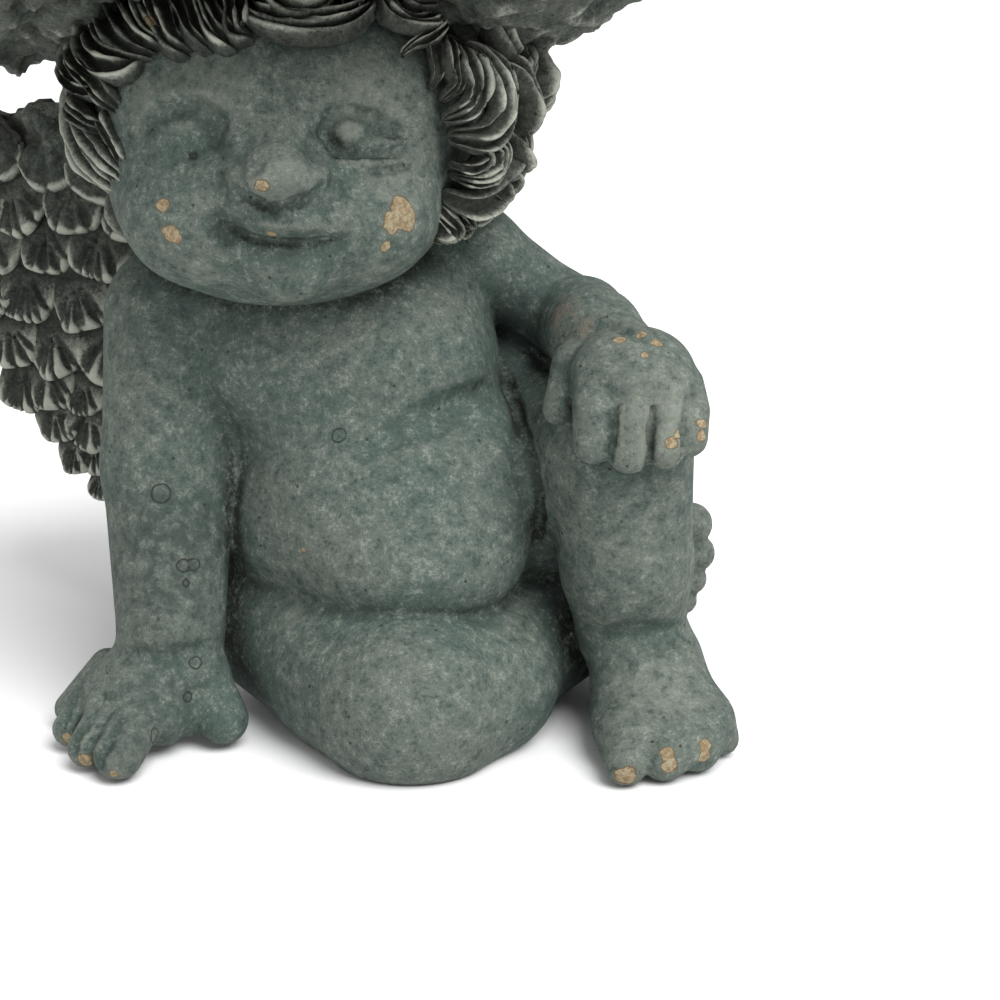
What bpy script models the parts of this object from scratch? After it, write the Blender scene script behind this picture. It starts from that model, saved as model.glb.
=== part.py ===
"""Garden putto: a seated, winged child with an open basin on its head, cast in one piece.

The figure faces -Y. Lengths are in millimetres until to_metres(). Every mass is a named
ellipsoid or a tapered limb; they are joined, fused by a voxel remesh, cut flat underneath
and reduced to plain facets.
"""
import math

import bmesh
import bpy
from mathutils import Euler, Matrix, Vector

# ---------------------------------------------------------------- driving dimensions (mm)
VOXEL = 1.7                 # grain of the fusing remesh
FLESH_STEPS = 26            # softening of the torso, so that its masses run together
HEAD_STEPS = 9              # softening of the head, which keeps its features
LIMB_STEPS = 5              # softening of arms, legs, hands and feet
LAST_STEPS = 2              # softening of the whole casting
TARGET_TRIANGLES = 9600     # facets of the finished casting
GROUND = 0.0                # level of the flat underside
MM = 0.001

# Masses are (centre, radii) or (centre, radii, turn in degrees).
TORSO = {
    "seat": ((0, 20, 40), (61, 53, 45)),
    "belly": ((-6, -8, 84), (54, 50, 41)),
    "chest": ((-18, 3, 126), (52, 41, 40)),
    "shoulders": ((-30, 4, 148), (52, 35, 25)),
    "low belly": ((-3, -27, 73), (46, 32, 26)),
    "left breast": ((0, -21, 130), (28, 19, 22)),
    "right breast": ((-44, -18, 130), (26, 18, 22)),
    "left flank": ((36, 16, 98), (25, 29, 33)),
    "right flank": ((-54, 5, 98), (20, 24, 34)),
    "right hip": ((-52, 8, 60), (23, 27, 35)),
}
# Limbs are (start, end, start radius, end radius).
NECK_AND_SHOULDERS = {
    "collar": ((-80, 2, 145), (2, 12, 148), 23.5, 23.5),
    "neck": ((-34, 6, 150), (-38, 2, 180), 33, 33),
}
RIGHT_ARM = {
    "upper arm": ((-82, 2, 143), (-84, -14, 92), 25.5, 24),
    "forearm": ((-84, -14, 92), (-81, -36, 40), 24, 21),
    "index": ((-88, -48, 20), (-95, -78.5, 9), 10, 8.7),
    "middle": ((-98, -44, 20), (-107, -70, 8), 8.4, 7.2),
    "ring": ((-104, -36, 20), (-116, -53, 8), 7.9, 6.8),
    "little": ((-107, -27, 21), (-120, -33, 7.5), 7.2, 6.2),
    "thumb": ((-72, -40, 22), (-63.5, -50, 10.5), 10.4, 9.4),
}
LEFT_ARM = {
    "upper arm": ((18, 12, 153), (45, 3, 144), 22.5, 20),
    "forearm": ((45, 3, 144), (67, -20, 139.5), 20, 19),
    "wrist": ((67, -20, 139.5), (75, -38, 133), 19, 15.5),
    "index": ((64, -58, 133), (62, -73, 117.5), 7.4, 6.6),
    "middle": ((74, -61, 132), (74, -76, 113.5), 7.6, 6.9),
    "ring": ((85, -58, 131), (85.2, -73.5, 115), 7.4, 6.6),
    "little": ((94, -52, 129), (94, -65.5, 116), 7, 6.2),
    "thumb": ((57, -36, 138), (52.3, -50, 120.5), 7.5, 5.8),
}
HANDS_AND_FEET = {
    "right palm": ((-84, -43, 25), (22.5, 16.5, 16.5), (20, 0, 10)),
    "right knuckles": ((-93, -46, 19), (20.5, 20.5, 11.5), (14, -6, 30)),
    "right heel of hand": ((-80, -50, 14), (14, 13, 11)),
    "left back of hand": ((79, -44, 132), (20.5, 18.5, 16), (-28, 0, 0)),
    "left knuckles": ((80, -52, 127), (20, 15.5, 13.5)),
    "left instep": ((85, -38, 25), (20.5, 25.5, 17.5), (28, 0, 0)),
    "left ball of foot": ((89, -58, 13), (25.5, 26, 12), (10, 0, -14)),
    "right ball of foot": ((96, 56, 34), (12.5, 13.5, 25.5)),
}
LEFT_LEG = {
    "thigh": ((30, 26, 62), (72, -30, 104), 38.5, 25.5),
    "shin": ((75, -38, 102), (77, -34, 62), 25, 23.5),
    "ankle": ((77, -34, 62), (79, -30, 38), 23.5, 20.5),
    "heel": ((83, -8, 16), (84, -40, 18), 16.5, 16.5),
    "big toe": ((76, -64, 11), (75, -82, 7.5), 9.9, 7.9),
    "second toe": ((87, -62, 11), (88, -79, 7.5), 8.9, 7.6),
    "third toe": ((97, -58, 11), (100, -71, 7), 8.4, 7.2),
    "last toe": ((105, -50, 10), (109.5, -58, 6.5), 7.4, 6.4),
}
FOLDED_LEG = {
    "thigh": ((-40, 4, 31), (-12, -50, 26), 31.5, 30.5),
    "shin": ((0, -54, 25), (66, 28, 28), 31, 25),
    "ankle": ((62, 30, 30), (88, 52, 34), 23, 21.5),
}
KNEE = {
    "knee": ((-6, -58, 22), (39, 33, 29.5)),
    "outside": ((-26, -35, 20), (28, 32, 25)),
    "calf": ((26, -36, 22), (34, 31, 26)),
}
RIGHT_TOES = {
    "big toe": ((94, 54, 50), (109, 56, 49), 9.2, 8.7),
    "second toe": ((96, 54, 38), (113, 56, 37.5), 8.2, 7.7),
    "third toe": ((96, 54, 27.5), (110, 56, 27), 7.2, 6.7),
    "fourth toe": ((96, 54, 18.5), (107, 56, 18), 6.2, 6.2),
    "little toe": ((94, 54, 11.5), (103, 56, 11), 5.7, 5.7),
}
HEAD = {
    "skull": ((-42.5, -5, 211), (58, 56, 51)),
    "jaw": ((-40.5, -18, 188), (57, 45.5, 37.5)),
    "right cheek": ((-69, -43, 185), (21, 18, 20.5)),
    "left cheek": ((-10, -43, 185), (21, 18, 20.5)),
    "chin": ((-36, -55, 168), (15, 11, 10)),
    "muzzle": ((-37, -56.5, 186), (23, 11.5, 15)),
    "nose tip": ((-36.3, -69.5, 200.5), (9.5, 8, 7)),
    "right nostril": ((-46, -65, 198.5), (6, 6, 5.5)),
    "left nostril": ((-27, -65, 198.5), (6, 6, 5.5)),
    "right eyeball": ((-66, -48.5, 214.5), (10.5, 8, 8.5)),
    "left eyeball": ((-13.3, -48.5, 214.5), (10.5, 8, 8.5)),
}
NOSE_BRIDGE = ((-37, -56, 215), (-36.5, -64.5, 203), 7.5, 8.5)

# Hair: a cap with raised locks. A lock runs through (turn, rise) angles in degrees on the
# cap, turn 0 at the brow and growing toward the figure's left, with a width and a depth.
HAIR_CENTRE = Vector((-36, 0, 210))
HAIR_RADII = Vector((75, 64, 54))
HAIR_TAPER = 0.0022                    # how much narrower the hair grows per mm lower down
BROW_LOCKS = [
    ([(-53, 51), (-80, 42), (-82, 30), (-56, 25), (-40, 25)], 13, 8),
    ([(-78, 50), (-54, 40), (-37, 33)], 10, 7),
    ([(-60, 56), (-28, 43), (-20, 35)], 11, 7),
    ([(-24, 60), (-10, 44), (6, 38), (21, 41), (34, 58)], 13, 8),
    ([(40, 60), (32, 43), (38, 37), (50, 40)], 11, 7),
    ([(55, 48), (45, 31), (43, 17)], 10, 8),
    ([(71, 46), (53, 28), (49, 14), (42, 10)], 10, 8),
    ([(90, 43), (64, 23), (59, 12), (47, 6)], 10, 8),
    ([(92, 34), (79, 17), (67, 5), (50, 0)], 11, 7),
    ([(91, 20), (84, 6), (71, -8), (58, -20), (46, -25)], 12, 7),
    ([(108, 34), (112, 20), (108, 4)], 11, 7),
    ([(82, -6), (78, -18), (66, -28)], 10, 7),
    ([(-84, 24), (-62, 14), (-46, 1), (-42, -14)], 11, 7),
    ([(-92, 14), (-66, 2), (-52, -10), (-46, -24)], 12, 7),
    ([(-96, 42), (-102, 26), (-94, 8)], 13, 9),
]
CROWN_ROWS = [(38, 9), (16, 9), (-6, 8), (-26, 7)]   # (rise, locks) of the rows round the back
BACK_TURNS = (112, 252)                              # turns covered by those rows

# Wings: a leaf-shaped core with rows of overlapping feathers on both faces.
WING_ROOT_HEIGHT = 138
WING_RISE, WING_DROP = 76, 76          # above and below the root height
WING_SPAN = 118
WING_CORE = 10.5                       # half thickness of the core at its middle
RIGHT_WING = ((-64, 36), 157)          # root in plan, direction in degrees from +X
LEFT_WING = ((1, 36), 84)
FEATHER_ROWS = 7
FEATHER_WIDTH, FEATHER_LENGTH, FEATHER_DEPTH = 14.5, 17, 4.2   # half sizes

# Basin: an open, lobed bowl of bark-like leaves. Profiles are (radius, height).
BASIN_CENTRE = (-38, 15)
BASIN_UNDER = [(30, 240), (62, 250), (92, 258), (111, 265), (119, 273)]
BASIN_SIDE_DROP = [14, 22, 22, 20, 20]  # how much lower that profile hangs at the two sides
BASIN_LIP = [(121, 282), (115, 289)]
BASIN_INSIDE = [(106, 287), (100, 277), (83, 270), (46, 267), (14, 266.5)]
BASIN_STEPS = 72
BASIN_LOBES = 7
BASIN_LOBE_DEPTH = 6
BASIN_DROOP = 14                       # how far the lip hangs lower on the figure's right
BASIN_DRIP = 10                        # a lump of rockwork under that side, at this radius:
BASIN_DRIP_RADIUS, BASIN_DRIP_WIDTH = 104, 14


# ---------------------------------------------------------------- building blocks
def ellipsoid(bm, centre, radii, turn=(0, 0, 0), detail=3):
    """A stretched icosphere."""
    euler = Euler([math.radians(a) for a in turn])
    matrix = Matrix.LocRotScale(Vector(centre), euler, Vector(radii))
    bmesh.ops.create_icosphere(bm, subdivisions=detail, radius=1.0, matrix=matrix)


def skin(bm, rings, closed_ends=True):
    """Quads between consecutive rings of points, with a fan to each end point."""
    loops = [[bm.verts.new(p) for p in ring] for ring in rings]
    for low, high in zip(loops, loops[1:]):
        count = len(low)
        for i in range(count):
            j = (i + 1) % count
            bm.faces.new((low[i], low[j], high[j], high[i]))
    if closed_ends:
        bm.faces.new(list(reversed(loops[0])))
        bm.faces.new(loops[-1])


def limb(bm, start, end, start_radius, end_radius, sides=20, cap_steps=5):
    """A tapered rod with domed ends, turned about the line from start to end."""
    start, end = Vector(start), Vector(end)
    axis = (end - start).normalized()
    side = axis.orthogonal().normalized()
    other = axis.cross(side)
    stations = []
    for i in range(cap_steps):
        angle = math.radians(8 + 82 * i / (cap_steps - 1))
        stations.append((start - axis * start_radius * math.cos(angle), start_radius * math.sin(angle)))
    for i in range(cap_steps):
        angle = math.radians(90 - 82 * i / (cap_steps - 1))
        stations.append((end + axis * end_radius * math.cos(angle), end_radius * math.sin(angle)))
    rings = []
    for centre, radius in stations:
        rings.append([centre + side * radius * math.cos(math.tau * k / sides)
                      + other * radius * math.sin(math.tau * k / sides) for k in range(sides)])
    skin(bm, rings)


def spline(points, steps):
    """Catmull-Rom curve through the points, sampled evenly in parameter."""
    points = [Vector(p) for p in points]
    ends = [2 * points[0] - points[1]] + points + [2 * points[-1] - points[-2]]
    out = []
    for s in range(steps + 1):
        place = s / steps * (len(points) - 1)
        i = min(int(place), len(points) - 2)
        t = place - i
        a, b, c, d = ends[i:i + 4]
        out.append(0.5 * (2 * b + (c - a) * t + (2 * a - 5 * b + 4 * c - d) * t ** 2
                          + (3 * b - 3 * c + d - a) * t ** 3))
    return out


def on_hair(turn, rise, lift=0.0):
    """Point and outward direction on the cap of hair."""
    a, e = math.radians(turn), math.radians(rise)
    unit = Vector((math.sin(a) * math.cos(e), -math.cos(a) * math.cos(e), math.sin(e)))
    out = Vector([unit[i] / HAIR_RADII[i] for i in range(3)]).normalized()
    offset = Vector([unit[i] * HAIR_RADII[i] for i in range(3)])
    offset.x *= 1 + HAIR_TAPER * offset.z
    return HAIR_CENTRE + offset + out * lift, out


def lock(bm, angles, width, depth, steps=14, sides=10):
    """A tapering lock of hair: an oval section carried along a curve over the cap."""
    path = spline([Vector((t, r, 0)) for t, r in angles], steps)
    spots = [on_hair(p.x, p.y, depth * 0.2) for p in path]
    rings = []
    for s, (centre, out) in enumerate(spots):
        before, after = spots[max(s - 1, 0)][0], spots[min(s + 1, steps)][0]
        across = (after - before).normalized().cross(out).normalized()
        swell = 0.35 + 0.65 * math.sin(math.pi * min(max(0.08 + 0.86 * s / steps, 0), 1)) ** 0.6
        half, high = width * 0.5 * swell, depth * swell
        rings.append([centre + across * half * math.cos(math.tau * k / sides)
                      + out * high * math.sin(math.tau * k / sides) for k in range(sides)])
    skin(bm, rings)


def wing_outline(height):
    """Inner and outer reach of the wing at a height from -1 (tip) to 1 (top)."""
    if height > 0:
        outer = WING_SPAN * math.sqrt(max(1 - (height * 0.96) ** 2.6, 0)) * (1 - 0.04 * height)
        inner = 6 * height
    else:
        outer = WING_SPAN * (1 - (-height) ** 1.35) * 0.97 + 44 * (-height) ** 1.2 * (1 + height) + 40 * (-height) ** 3
        inner = 34 * (-height) ** 1.5
    return inner, max(outer, inner + 8)


def wing(bm, root, direction):
    """Core of stacked lens sections, then rows of feather tongues on both faces."""
    angle = math.radians(direction)
    out = Vector((math.cos(angle), math.sin(angle), 0))
    up = Vector((0, 0, 1))
    normal = out.cross(up)
    base = Vector((root[0], root[1], WING_ROOT_HEIGHT))

    def place(reach, height, face):
        """Point on the wing: reach outward, height -1..1, face -1 or 1 and its depth."""
        rise = height * (WING_RISE if height > 0 else WING_DROP)
        return base + out * reach + up * rise + normal * face

    levels = [-0.98 + 1.95 * i / 15 for i in range(16)]
    rings = []
    for level in levels:
        inner, outer = wing_outline(level)
        middle, half = (inner + outer) / 2, (outer - inner) / 2
        thick = WING_CORE * (1 - 0.45 * abs(level) ** 2)
        rings.append([place(middle + half * math.cos(math.tau * k / 20), level,
                            thick * math.sin(math.tau * k / 20)) for k in range(20)])
    skin(bm, rings)
    for row in range(FEATHER_ROWS + 1):
        level = -0.86 + 1.78 * row / FEATHER_ROWS
        inner, outer = wing_outline(level)
        grow = 1.0 + 0.25 * max(level, 0)
        count = max(int((outer - inner) / (FEATHER_WIDTH * 1.75 * grow)), 1)
        for col in range(count + 1):
            shift = (col + 0.25 + 0.5 * (row % 2)) / (count + 0.5)
            reach = inner + (outer - inner) * min(shift, 1.0)
            lean = 12 - 26 * shift
            for face in (-1, 1):
                depth = WING_CORE * (1 - 0.45 * abs(level) ** 2) * max(1 - abs(2 * shift - 1) ** 3, 0) ** 0.5
                centre = place(reach, level, face * (depth * 0.85 + 0.8))
                tilt = Matrix.Rotation(math.radians(lean), 3, normal)
                tip = (tilt @ (-up) + normal * face * 0.16).normalized()
                side = tip.cross(normal * face).normalized()
                facing = side.cross(tip)
                frame = Matrix((side, tip, facing)).transposed().to_4x4()
                size = Matrix.Diagonal((FEATHER_WIDTH * grow, FEATHER_LENGTH * grow, FEATHER_DEPTH, 1))
                bmesh.ops.create_icosphere(bm, subdivisions=2, radius=1.0,
                                           matrix=Matrix.Translation(centre) @ frame @ size)


def basin(bm):
    """Turned bowl whose lip waves in lobes and droops on one side."""
    profile = BASIN_UNDER + BASIN_LIP + BASIN_INSIDE
    drops = BASIN_SIDE_DROP + [0] * (len(profile) - len(BASIN_UNDER))
    edge = BASIN_LIP[0][0]
    rings = []
    for (radius, height), drop in zip(profile, drops):
        ring = []
        share = (radius / edge) ** 2
        for k in range(BASIN_STEPS):
            angle = math.tau * k / BASIN_STEPS
            lobe = 1 + share * (BASIN_LOBE_DEPTH / edge) * math.cos(BASIN_LOBES * angle + 0.6)
            dip = share * (3.0 * math.cos(BASIN_LOBES * angle + 0.6)
                           - BASIN_DROOP * max(-math.cos(angle), 0) ** 4)
            dip -= drop * math.cos(angle) ** 4
            if drop:
                bulge = math.exp(-((radius - BASIN_DRIP_RADIUS) / BASIN_DRIP_WIDTH) ** 2)
                dip -= BASIN_DRIP * bulge * max(-math.cos(angle), 0) ** 4
            ring.append(Vector((BASIN_CENTRE[0] + radius * lobe * math.cos(angle),
                                BASIN_CENTRE[1] + radius * lobe * math.sin(angle), height + dip)))
        rings.append(ring)
    skin(bm, rings)


# ---------------------------------------------------------------- the figure
def add_hair(bm):
    ellipsoid(bm, HAIR_CENTRE + Vector((0, 12, 2)), HAIR_RADII - Vector((5, 9, 4)))
    for angles, width, depth in BROW_LOCKS:
        lock(bm, angles, width, depth)
    first, last = BACK_TURNS
    for rise, count in CROWN_ROWS:
        for i in range(count):
            turn = first + (last - first) * i / (count - 1)
            sway = 9 if i % 2 else -9
            lock(bm, [(turn + sway, rise + 17), (turn, rise + 4), (turn + sway, rise - 12)], 15, 8)


def to_metres(bm):
    bmesh.ops.scale(bm, vec=(MM, MM, MM), verts=bm.verts)


def fused(source, steps):
    """Voxel-remeshed copy of joined masses, softened by a number of steps."""
    bmesh.ops.recalc_face_normals(source, faces=source.faces)
    mesh = bpy.data.meshes.new("masses")
    source.to_mesh(mesh)
    source.free()
    shell = bpy.data.objects.new("masses", mesh)
    bpy.context.scene.collection.objects.link(shell)
    remesh = shell.modifiers.new("Fuse", "REMESH")
    remesh.mode = "VOXEL"
    remesh.voxel_size = VOXEL * MM
    soften = shell.modifiers.new("Soften", "SMOOTH")
    soften.factor = 0.5
    soften.iterations = steps
    graph = bpy.context.evaluated_depsgraph_get()
    result = bmesh.new()
    result.from_mesh(shell.evaluated_get(graph).to_mesh())
    bpy.data.objects.remove(shell)
    bpy.data.meshes.remove(mesh)
    return result


def blended(steps, ellipsoids=(), limbs=()):
    """Mesh of a group of masses run together."""
    bm = bmesh.new()
    for spec in ellipsoids:
        ellipsoid(bm, *spec)
    for spec in limbs:
        limb(bm, *spec)
    to_metres(bm)
    soft = fused(bm, steps)
    mesh = bpy.data.meshes.new("group")
    soft.to_mesh(mesh)
    soft.free()
    return mesh


def largest_island(bm):
    """Drops every sealed pocket, keeping the one outer skin."""
    left = set(bm.verts)
    best = set()
    while left:
        seed = left.pop()
        island, queue = {seed}, [seed]
        while queue:
            for edge in queue.pop().link_edges:
                for vert in edge.verts:
                    if vert in left:
                        left.remove(vert)
                        island.add(vert)
                        queue.append(vert)
        if len(island) > len(best):
            best = island
    bmesh.ops.delete(bm, geom=[v for v in bm.verts if v not in best], context="VERTS")


def cut_underside(bm):
    """Slices everything below the ground level and closes the cut."""
    geometry = bm.verts[:] + bm.edges[:] + bm.faces[:]
    cut = bmesh.ops.bisect_plane(bm, geom=geometry, dist=1e-7, plane_co=(0, 0, GROUND),
                                 plane_no=(0, 0, -1), clear_outer=True)
    edges = [e for e in cut["geom_cut"] if isinstance(e, bmesh.types.BMEdge)]
    bmesh.ops.holes_fill(bm, edges=edges)


def statue():
    left = [HANDS_AND_FEET[k] for k in HANDS_AND_FEET if "left" in k]
    right = [HANDS_AND_FEET[k] for k in HANDS_AND_FEET if "right" in k]
    groups = [
        blended(FLESH_STEPS, TORSO.values(), NECK_AND_SHOULDERS.values()),
        blended(FLESH_STEPS, KNEE.values(), FOLDED_LEG.values()),
        blended(HEAD_STEPS, HEAD.values(), [NOSE_BRIDGE]),
        blended(LIMB_STEPS, left, list(LEFT_ARM.values()) + list(LEFT_LEG.values())),
        blended(LIMB_STEPS, right, list(RIGHT_ARM.values()) + list(RIGHT_TOES.values())),
    ]
    masses = bmesh.new()
    add_hair(masses)
    wing(masses, *RIGHT_WING)
    wing(masses, *LEFT_WING)
    basin(masses)
    to_metres(masses)
    for group in groups:
        masses.from_mesh(group)
        bpy.data.meshes.remove(group)
    body = fused(masses, LAST_STEPS)
    cut_underside(body)
    largest_island(body)
    bmesh.ops.triangulate(body, faces=body.faces)
    return body


def stone_material():
    material = bpy.data.materials.new("worn verdigris")
    material.use_nodes = True
    shader = material.node_tree.nodes["Principled BSDF"]
    shader.inputs["Base Color"].default_value = (0.12, 0.17, 0.16, 1)
    shader.inputs["Roughness"].default_value = 0.85
    shader.inputs["Metallic"].default_value = 0.0
    return material


def reduced(bm, name):
    """Object with the casting's mesh reduced to the wanted number of facets."""
    mesh = bpy.data.meshes.new(name)
    bm.to_mesh(mesh)
    thing = bpy.data.objects.new(name, mesh)
    bpy.context.scene.collection.objects.link(thing)
    reduce = thing.modifiers.new("Facets", "DECIMATE")
    reduce.ratio = TARGET_TRIANGLES / len(mesh.polygons)
    graph = bpy.context.evaluated_depsgraph_get()
    final = bmesh.new()
    final.from_mesh(thing.evaluated_get(graph).to_mesh())
    thing.modifiers.clear()
    return thing, final


def centred(bm):
    """Origin at the middle of the bounding box, on the underside."""
    low = Vector([min(v.co[i] for v in bm.verts) for i in range(3)])
    high = Vector([max(v.co[i] for v in bm.verts) for i in range(3)])
    bmesh.ops.translate(bm, vec=(-(low.x + high.x) / 2, -(low.y + high.y) / 2, -low.z), verts=bm.verts)
    print("frame shift mm", [round(-1000 * v, 3) for v in ((low.x + high.x) / 2, (low.y + high.y) / 2, low.z)])
    print("size mm", [round(1000 * v, 2) for v in high - low])


for old in list(bpy.data.objects):
    bpy.data.objects.remove(old)

casting = statue()
putto, facets = reduced(casting, "putto")
for vert in facets.verts:
    if vert.co.z < 0.0006:
        vert.co.z = 0.0
centred(facets)
facets.to_mesh(putto.data)
putto.data.shade_smooth()
putto.data.materials.append(stone_material())
print("triangles", len(facets.faces))
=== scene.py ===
# %% [markdown]
# # A garden putto with a basin on its head
# The object is one casting: a seated, winged child who leans on one hand, lays the other on a
# raised knee and carries an open basin. This lesson builds the surface that the eye sees, piece
# by piece, over the imported solid and in its frame. The places are typed in to match that solid.

# %% Load the frame
import math
import time

import bpy
import numpy as np
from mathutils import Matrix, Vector


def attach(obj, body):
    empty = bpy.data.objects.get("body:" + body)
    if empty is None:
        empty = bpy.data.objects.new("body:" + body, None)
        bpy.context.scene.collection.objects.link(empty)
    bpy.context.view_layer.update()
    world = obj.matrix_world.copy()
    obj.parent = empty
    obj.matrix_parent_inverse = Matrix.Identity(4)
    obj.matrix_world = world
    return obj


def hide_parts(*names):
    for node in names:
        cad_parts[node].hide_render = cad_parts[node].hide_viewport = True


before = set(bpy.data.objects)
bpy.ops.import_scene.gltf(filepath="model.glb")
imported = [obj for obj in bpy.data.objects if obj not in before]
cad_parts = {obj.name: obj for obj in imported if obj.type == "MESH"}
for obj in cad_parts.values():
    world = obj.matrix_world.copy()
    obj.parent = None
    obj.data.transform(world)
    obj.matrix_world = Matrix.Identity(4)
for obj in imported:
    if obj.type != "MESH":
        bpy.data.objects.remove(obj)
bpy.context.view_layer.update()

STARTED = time.time()


def tell(*words):
    """Prints what was made and how many seconds have gone since the start."""
    print(*words, "after", round(time.time() - STARTED, 1), "s")


# %% [markdown]
# ## One set of measures
# The modeller works in millimetres from a point between the knees. `SHIFT` moves that point to
# the frame's origin, which is the middle of the box on the ground. It is typed in and not worked
# out, so a solid that is moved or resized needs a new one, and new places too.

# %% Measures
SHIFT = np.array([30.618, -27.103, 0.0])


def to_frame(points_mm):
    """Millimetres at the modeller's origin to metres in the frame: (point + SHIFT) / 1000."""
    return (np.asarray(points_mm, float) + SHIFT) * 0.001


# %% [markdown]
# ## Clay on a grid
# Flesh has no edges to draw: an arm runs into a shoulder, a cheek into a jaw. A surface in two
# parameters can't branch like that, so the figure is modelled as clay. Space is a grid, each
# point holds its distance to the nearest lump, and two lumps join where their distances are
# rounded together. The skin is then the set of points at distance zero.

# %% Distances
def smooth_min(a, b, k):
    """Joins two shapes: the smaller distance, less a fillet of about k where they meet."""
    if k <= 0:
        return np.minimum(a, b)
    h = np.maximum(k - np.abs(a - b), 0) / k
    return np.minimum(a, b) - h * h * k * 0.25


def smooth_max(a, b, k):
    """Cuts one shape by another: the larger distance, with the edge rounded by about k."""
    return -smooth_min(-a, -b, k)


def turn_matrix(degrees):
    """Rotation about X, then Y, then Z."""
    (cx, cy, cz), (sx, sy, sz) = np.cos(np.radians(degrees)), np.sin(np.radians(degrees))
    about_x = np.array([[1, 0, 0], [0, cx, -sx], [0, sx, cx]])
    about_y = np.array([[cy, 0, sy], [0, 1, 0], [-sy, 0, cy]])
    about_z = np.array([[cz, -sz, 0], [sz, cz, 0], [0, 0, 1]])
    return about_z @ about_y @ about_x


def ball_distance(xyz, centre, radii, turn):
    """Distance to an ellipsoid: k0 (k0 - 1) / k1, with k0 the scaled length of the offset and
    k1 the length of its gradient."""
    d = [xyz[i] - centre[i] for i in range(3)]
    m = turn_matrix(turn)
    local = [m[0, i] * d[0] + m[1, i] * d[1] + m[2, i] * d[2] for i in range(3)]
    k0 = np.sqrt(sum((local[i] / radii[i]) ** 2 for i in range(3)))
    k1 = np.sqrt(sum((local[i] / radii[i] ** 2) ** 2 for i in range(3)))
    return (k0 * (k0 - 1) / np.maximum(k1, 1e-9)).astype(np.float32)


def rod_distance(xyz, start, end, r0, r1):
    """Distance to a tapered rod with round ends: along the axis the point is slid by the taper,
    then the distance to the axis less the radius there is taken."""
    start, end = np.asarray(start, float), np.asarray(end, float)
    axis = end - start
    length = np.sqrt(axis @ axis)
    axis = axis / length
    d = [xyz[i] - start[i] for i in range(3)]
    along = d[0] * axis[0] + d[1] * axis[1] + d[2] * axis[2]
    away = np.sqrt(np.maximum(d[0] ** 2 + d[1] ** 2 + d[2] ** 2 - along ** 2, 0))
    slope = (r0 - r1) / length
    t = np.clip((along + away * slope / math.sqrt(max(1 - slope * slope, 1e-6))) / length, 0, 1)
    gap = np.sqrt((along - t * length) ** 2 + away ** 2)
    return (gap - (r0 + (r1 - r0) * t)).astype(np.float32)


# %% The clay
class Clay:
    """A box of space on a grid of `grain` millimetres, holding distances, negative inside."""

    def __init__(self, low, high, grain, far=30.0):
        self.low, self.grain = np.array(low, float), grain
        self.count = np.ceil((np.array(high) - self.low) / grain).astype(int) + 1
        self.value = np.full(self.count, far, np.float32)
        self.axes = [(self.low[i] + grain * np.arange(self.count[i])).astype(np.float32) for i in range(3)]

    def block(self, low, high):
        """The part of the grid between two corners, as slices and open coordinate arrays."""
        first = [max(0, int((low[i] - self.low[i]) // self.grain)) for i in range(3)]
        last = [min(int(self.count[i]), int((high[i] - self.low[i]) // self.grain) + 2) for i in range(3)]
        if any(b <= a for a, b in zip(first, last)):
            return None
        where = tuple(slice(a, b) for a, b in zip(first, last))
        return where, np.meshgrid(*[self.axes[i][where[i]] for i in range(3)], indexing="ij", sparse=True)

    def sample(self, points):
        """Distance at any points, by linear interpolation in the grid."""
        g = np.clip((points - self.low) / self.grain, 0, self.count - 1.001)
        i = g.astype(int)
        f = g - i
        total = 0
        for corner in np.ndindex(2, 2, 2):
            share = np.prod(np.where(corner, f, 1 - f), axis=1)
            total = total + share * self.value[i[:, 0] + corner[0], i[:, 1] + corner[1], i[:, 2] + corner[2]]
        return total


# %% Lumps
def ball(centre, radii, blend, turn=(0, 0, 0)):
    """An ellipsoid lump; turn is in degrees, and blend is its fillet with the lumps before it."""
    return ("ball", centre, radii, turn, blend)


def rod(start, end, r0, r1, blend):
    """A tapered lump with round ends, from radius r0 to r1."""
    return ("rod", start, end, r0, r1, blend)


def cut(shape):
    """Turns a lump into a hollow that is taken from the lumps before it in its group."""
    return ("cut",) + shape


def chain(points, radii, blend):
    """Rods end to end through a list of points."""
    return [rod(points[i], points[i + 1], radii[i], radii[i + 1], blend) for i in range(len(points) - 1)]


def reach(shape):
    """Corners of a box that holds a lump."""
    if shape[0] == "ball":
        c, r = np.array(shape[1], float), max(shape[2])
        return c - r, c + r
    a, b, r = np.array(shape[1], float), np.array(shape[2], float), max(shape[3], shape[4])
    return np.minimum(a, b) - r, np.maximum(a, b) + r


def lump_distance(shape, xyz):
    """Distance to a ball or a rod at the points of a grid."""
    return ball_distance(xyz, *shape[1:4]) if shape[0] == "ball" else rod_distance(xyz, *shape[1:5])


# %% Join and cut
def add(clay, lumps, fillet, margin=22):
    """Joins a group of lumps with each other, each by its own blend, then to the clay."""
    solid = [s for s in lumps if s[0] != "cut"]
    corners = [reach(s) for s in solid]
    low, high = np.min([c[0] for c in corners], 0), np.max([c[1] for c in corners], 0)
    found = clay.block(low - margin, high + margin)
    if found is None:
        return
    where, xyz = found
    group = None
    for shape in lumps:
        if shape[0] == "cut":
            group = smooth_max(group, -lump_distance(shape[1:], xyz), shape[-1])
        else:
            d = lump_distance(shape, xyz)
            group = d if group is None else smooth_min(group, d, shape[-1])
    clay.value[where] = smooth_min(clay.value[where], group, fillet)


def carve(clay, shapes, margin=10):
    """Takes grooves and hollows out of the clay."""
    for shape in shapes:
        low, high = reach(shape)
        found = clay.block(low - margin, high + margin)
        if found is not None:
            where, xyz = found
            clay.value[where] = smooth_max(clay.value[where], -lump_distance(shape, xyz), shape[-1])


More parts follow.
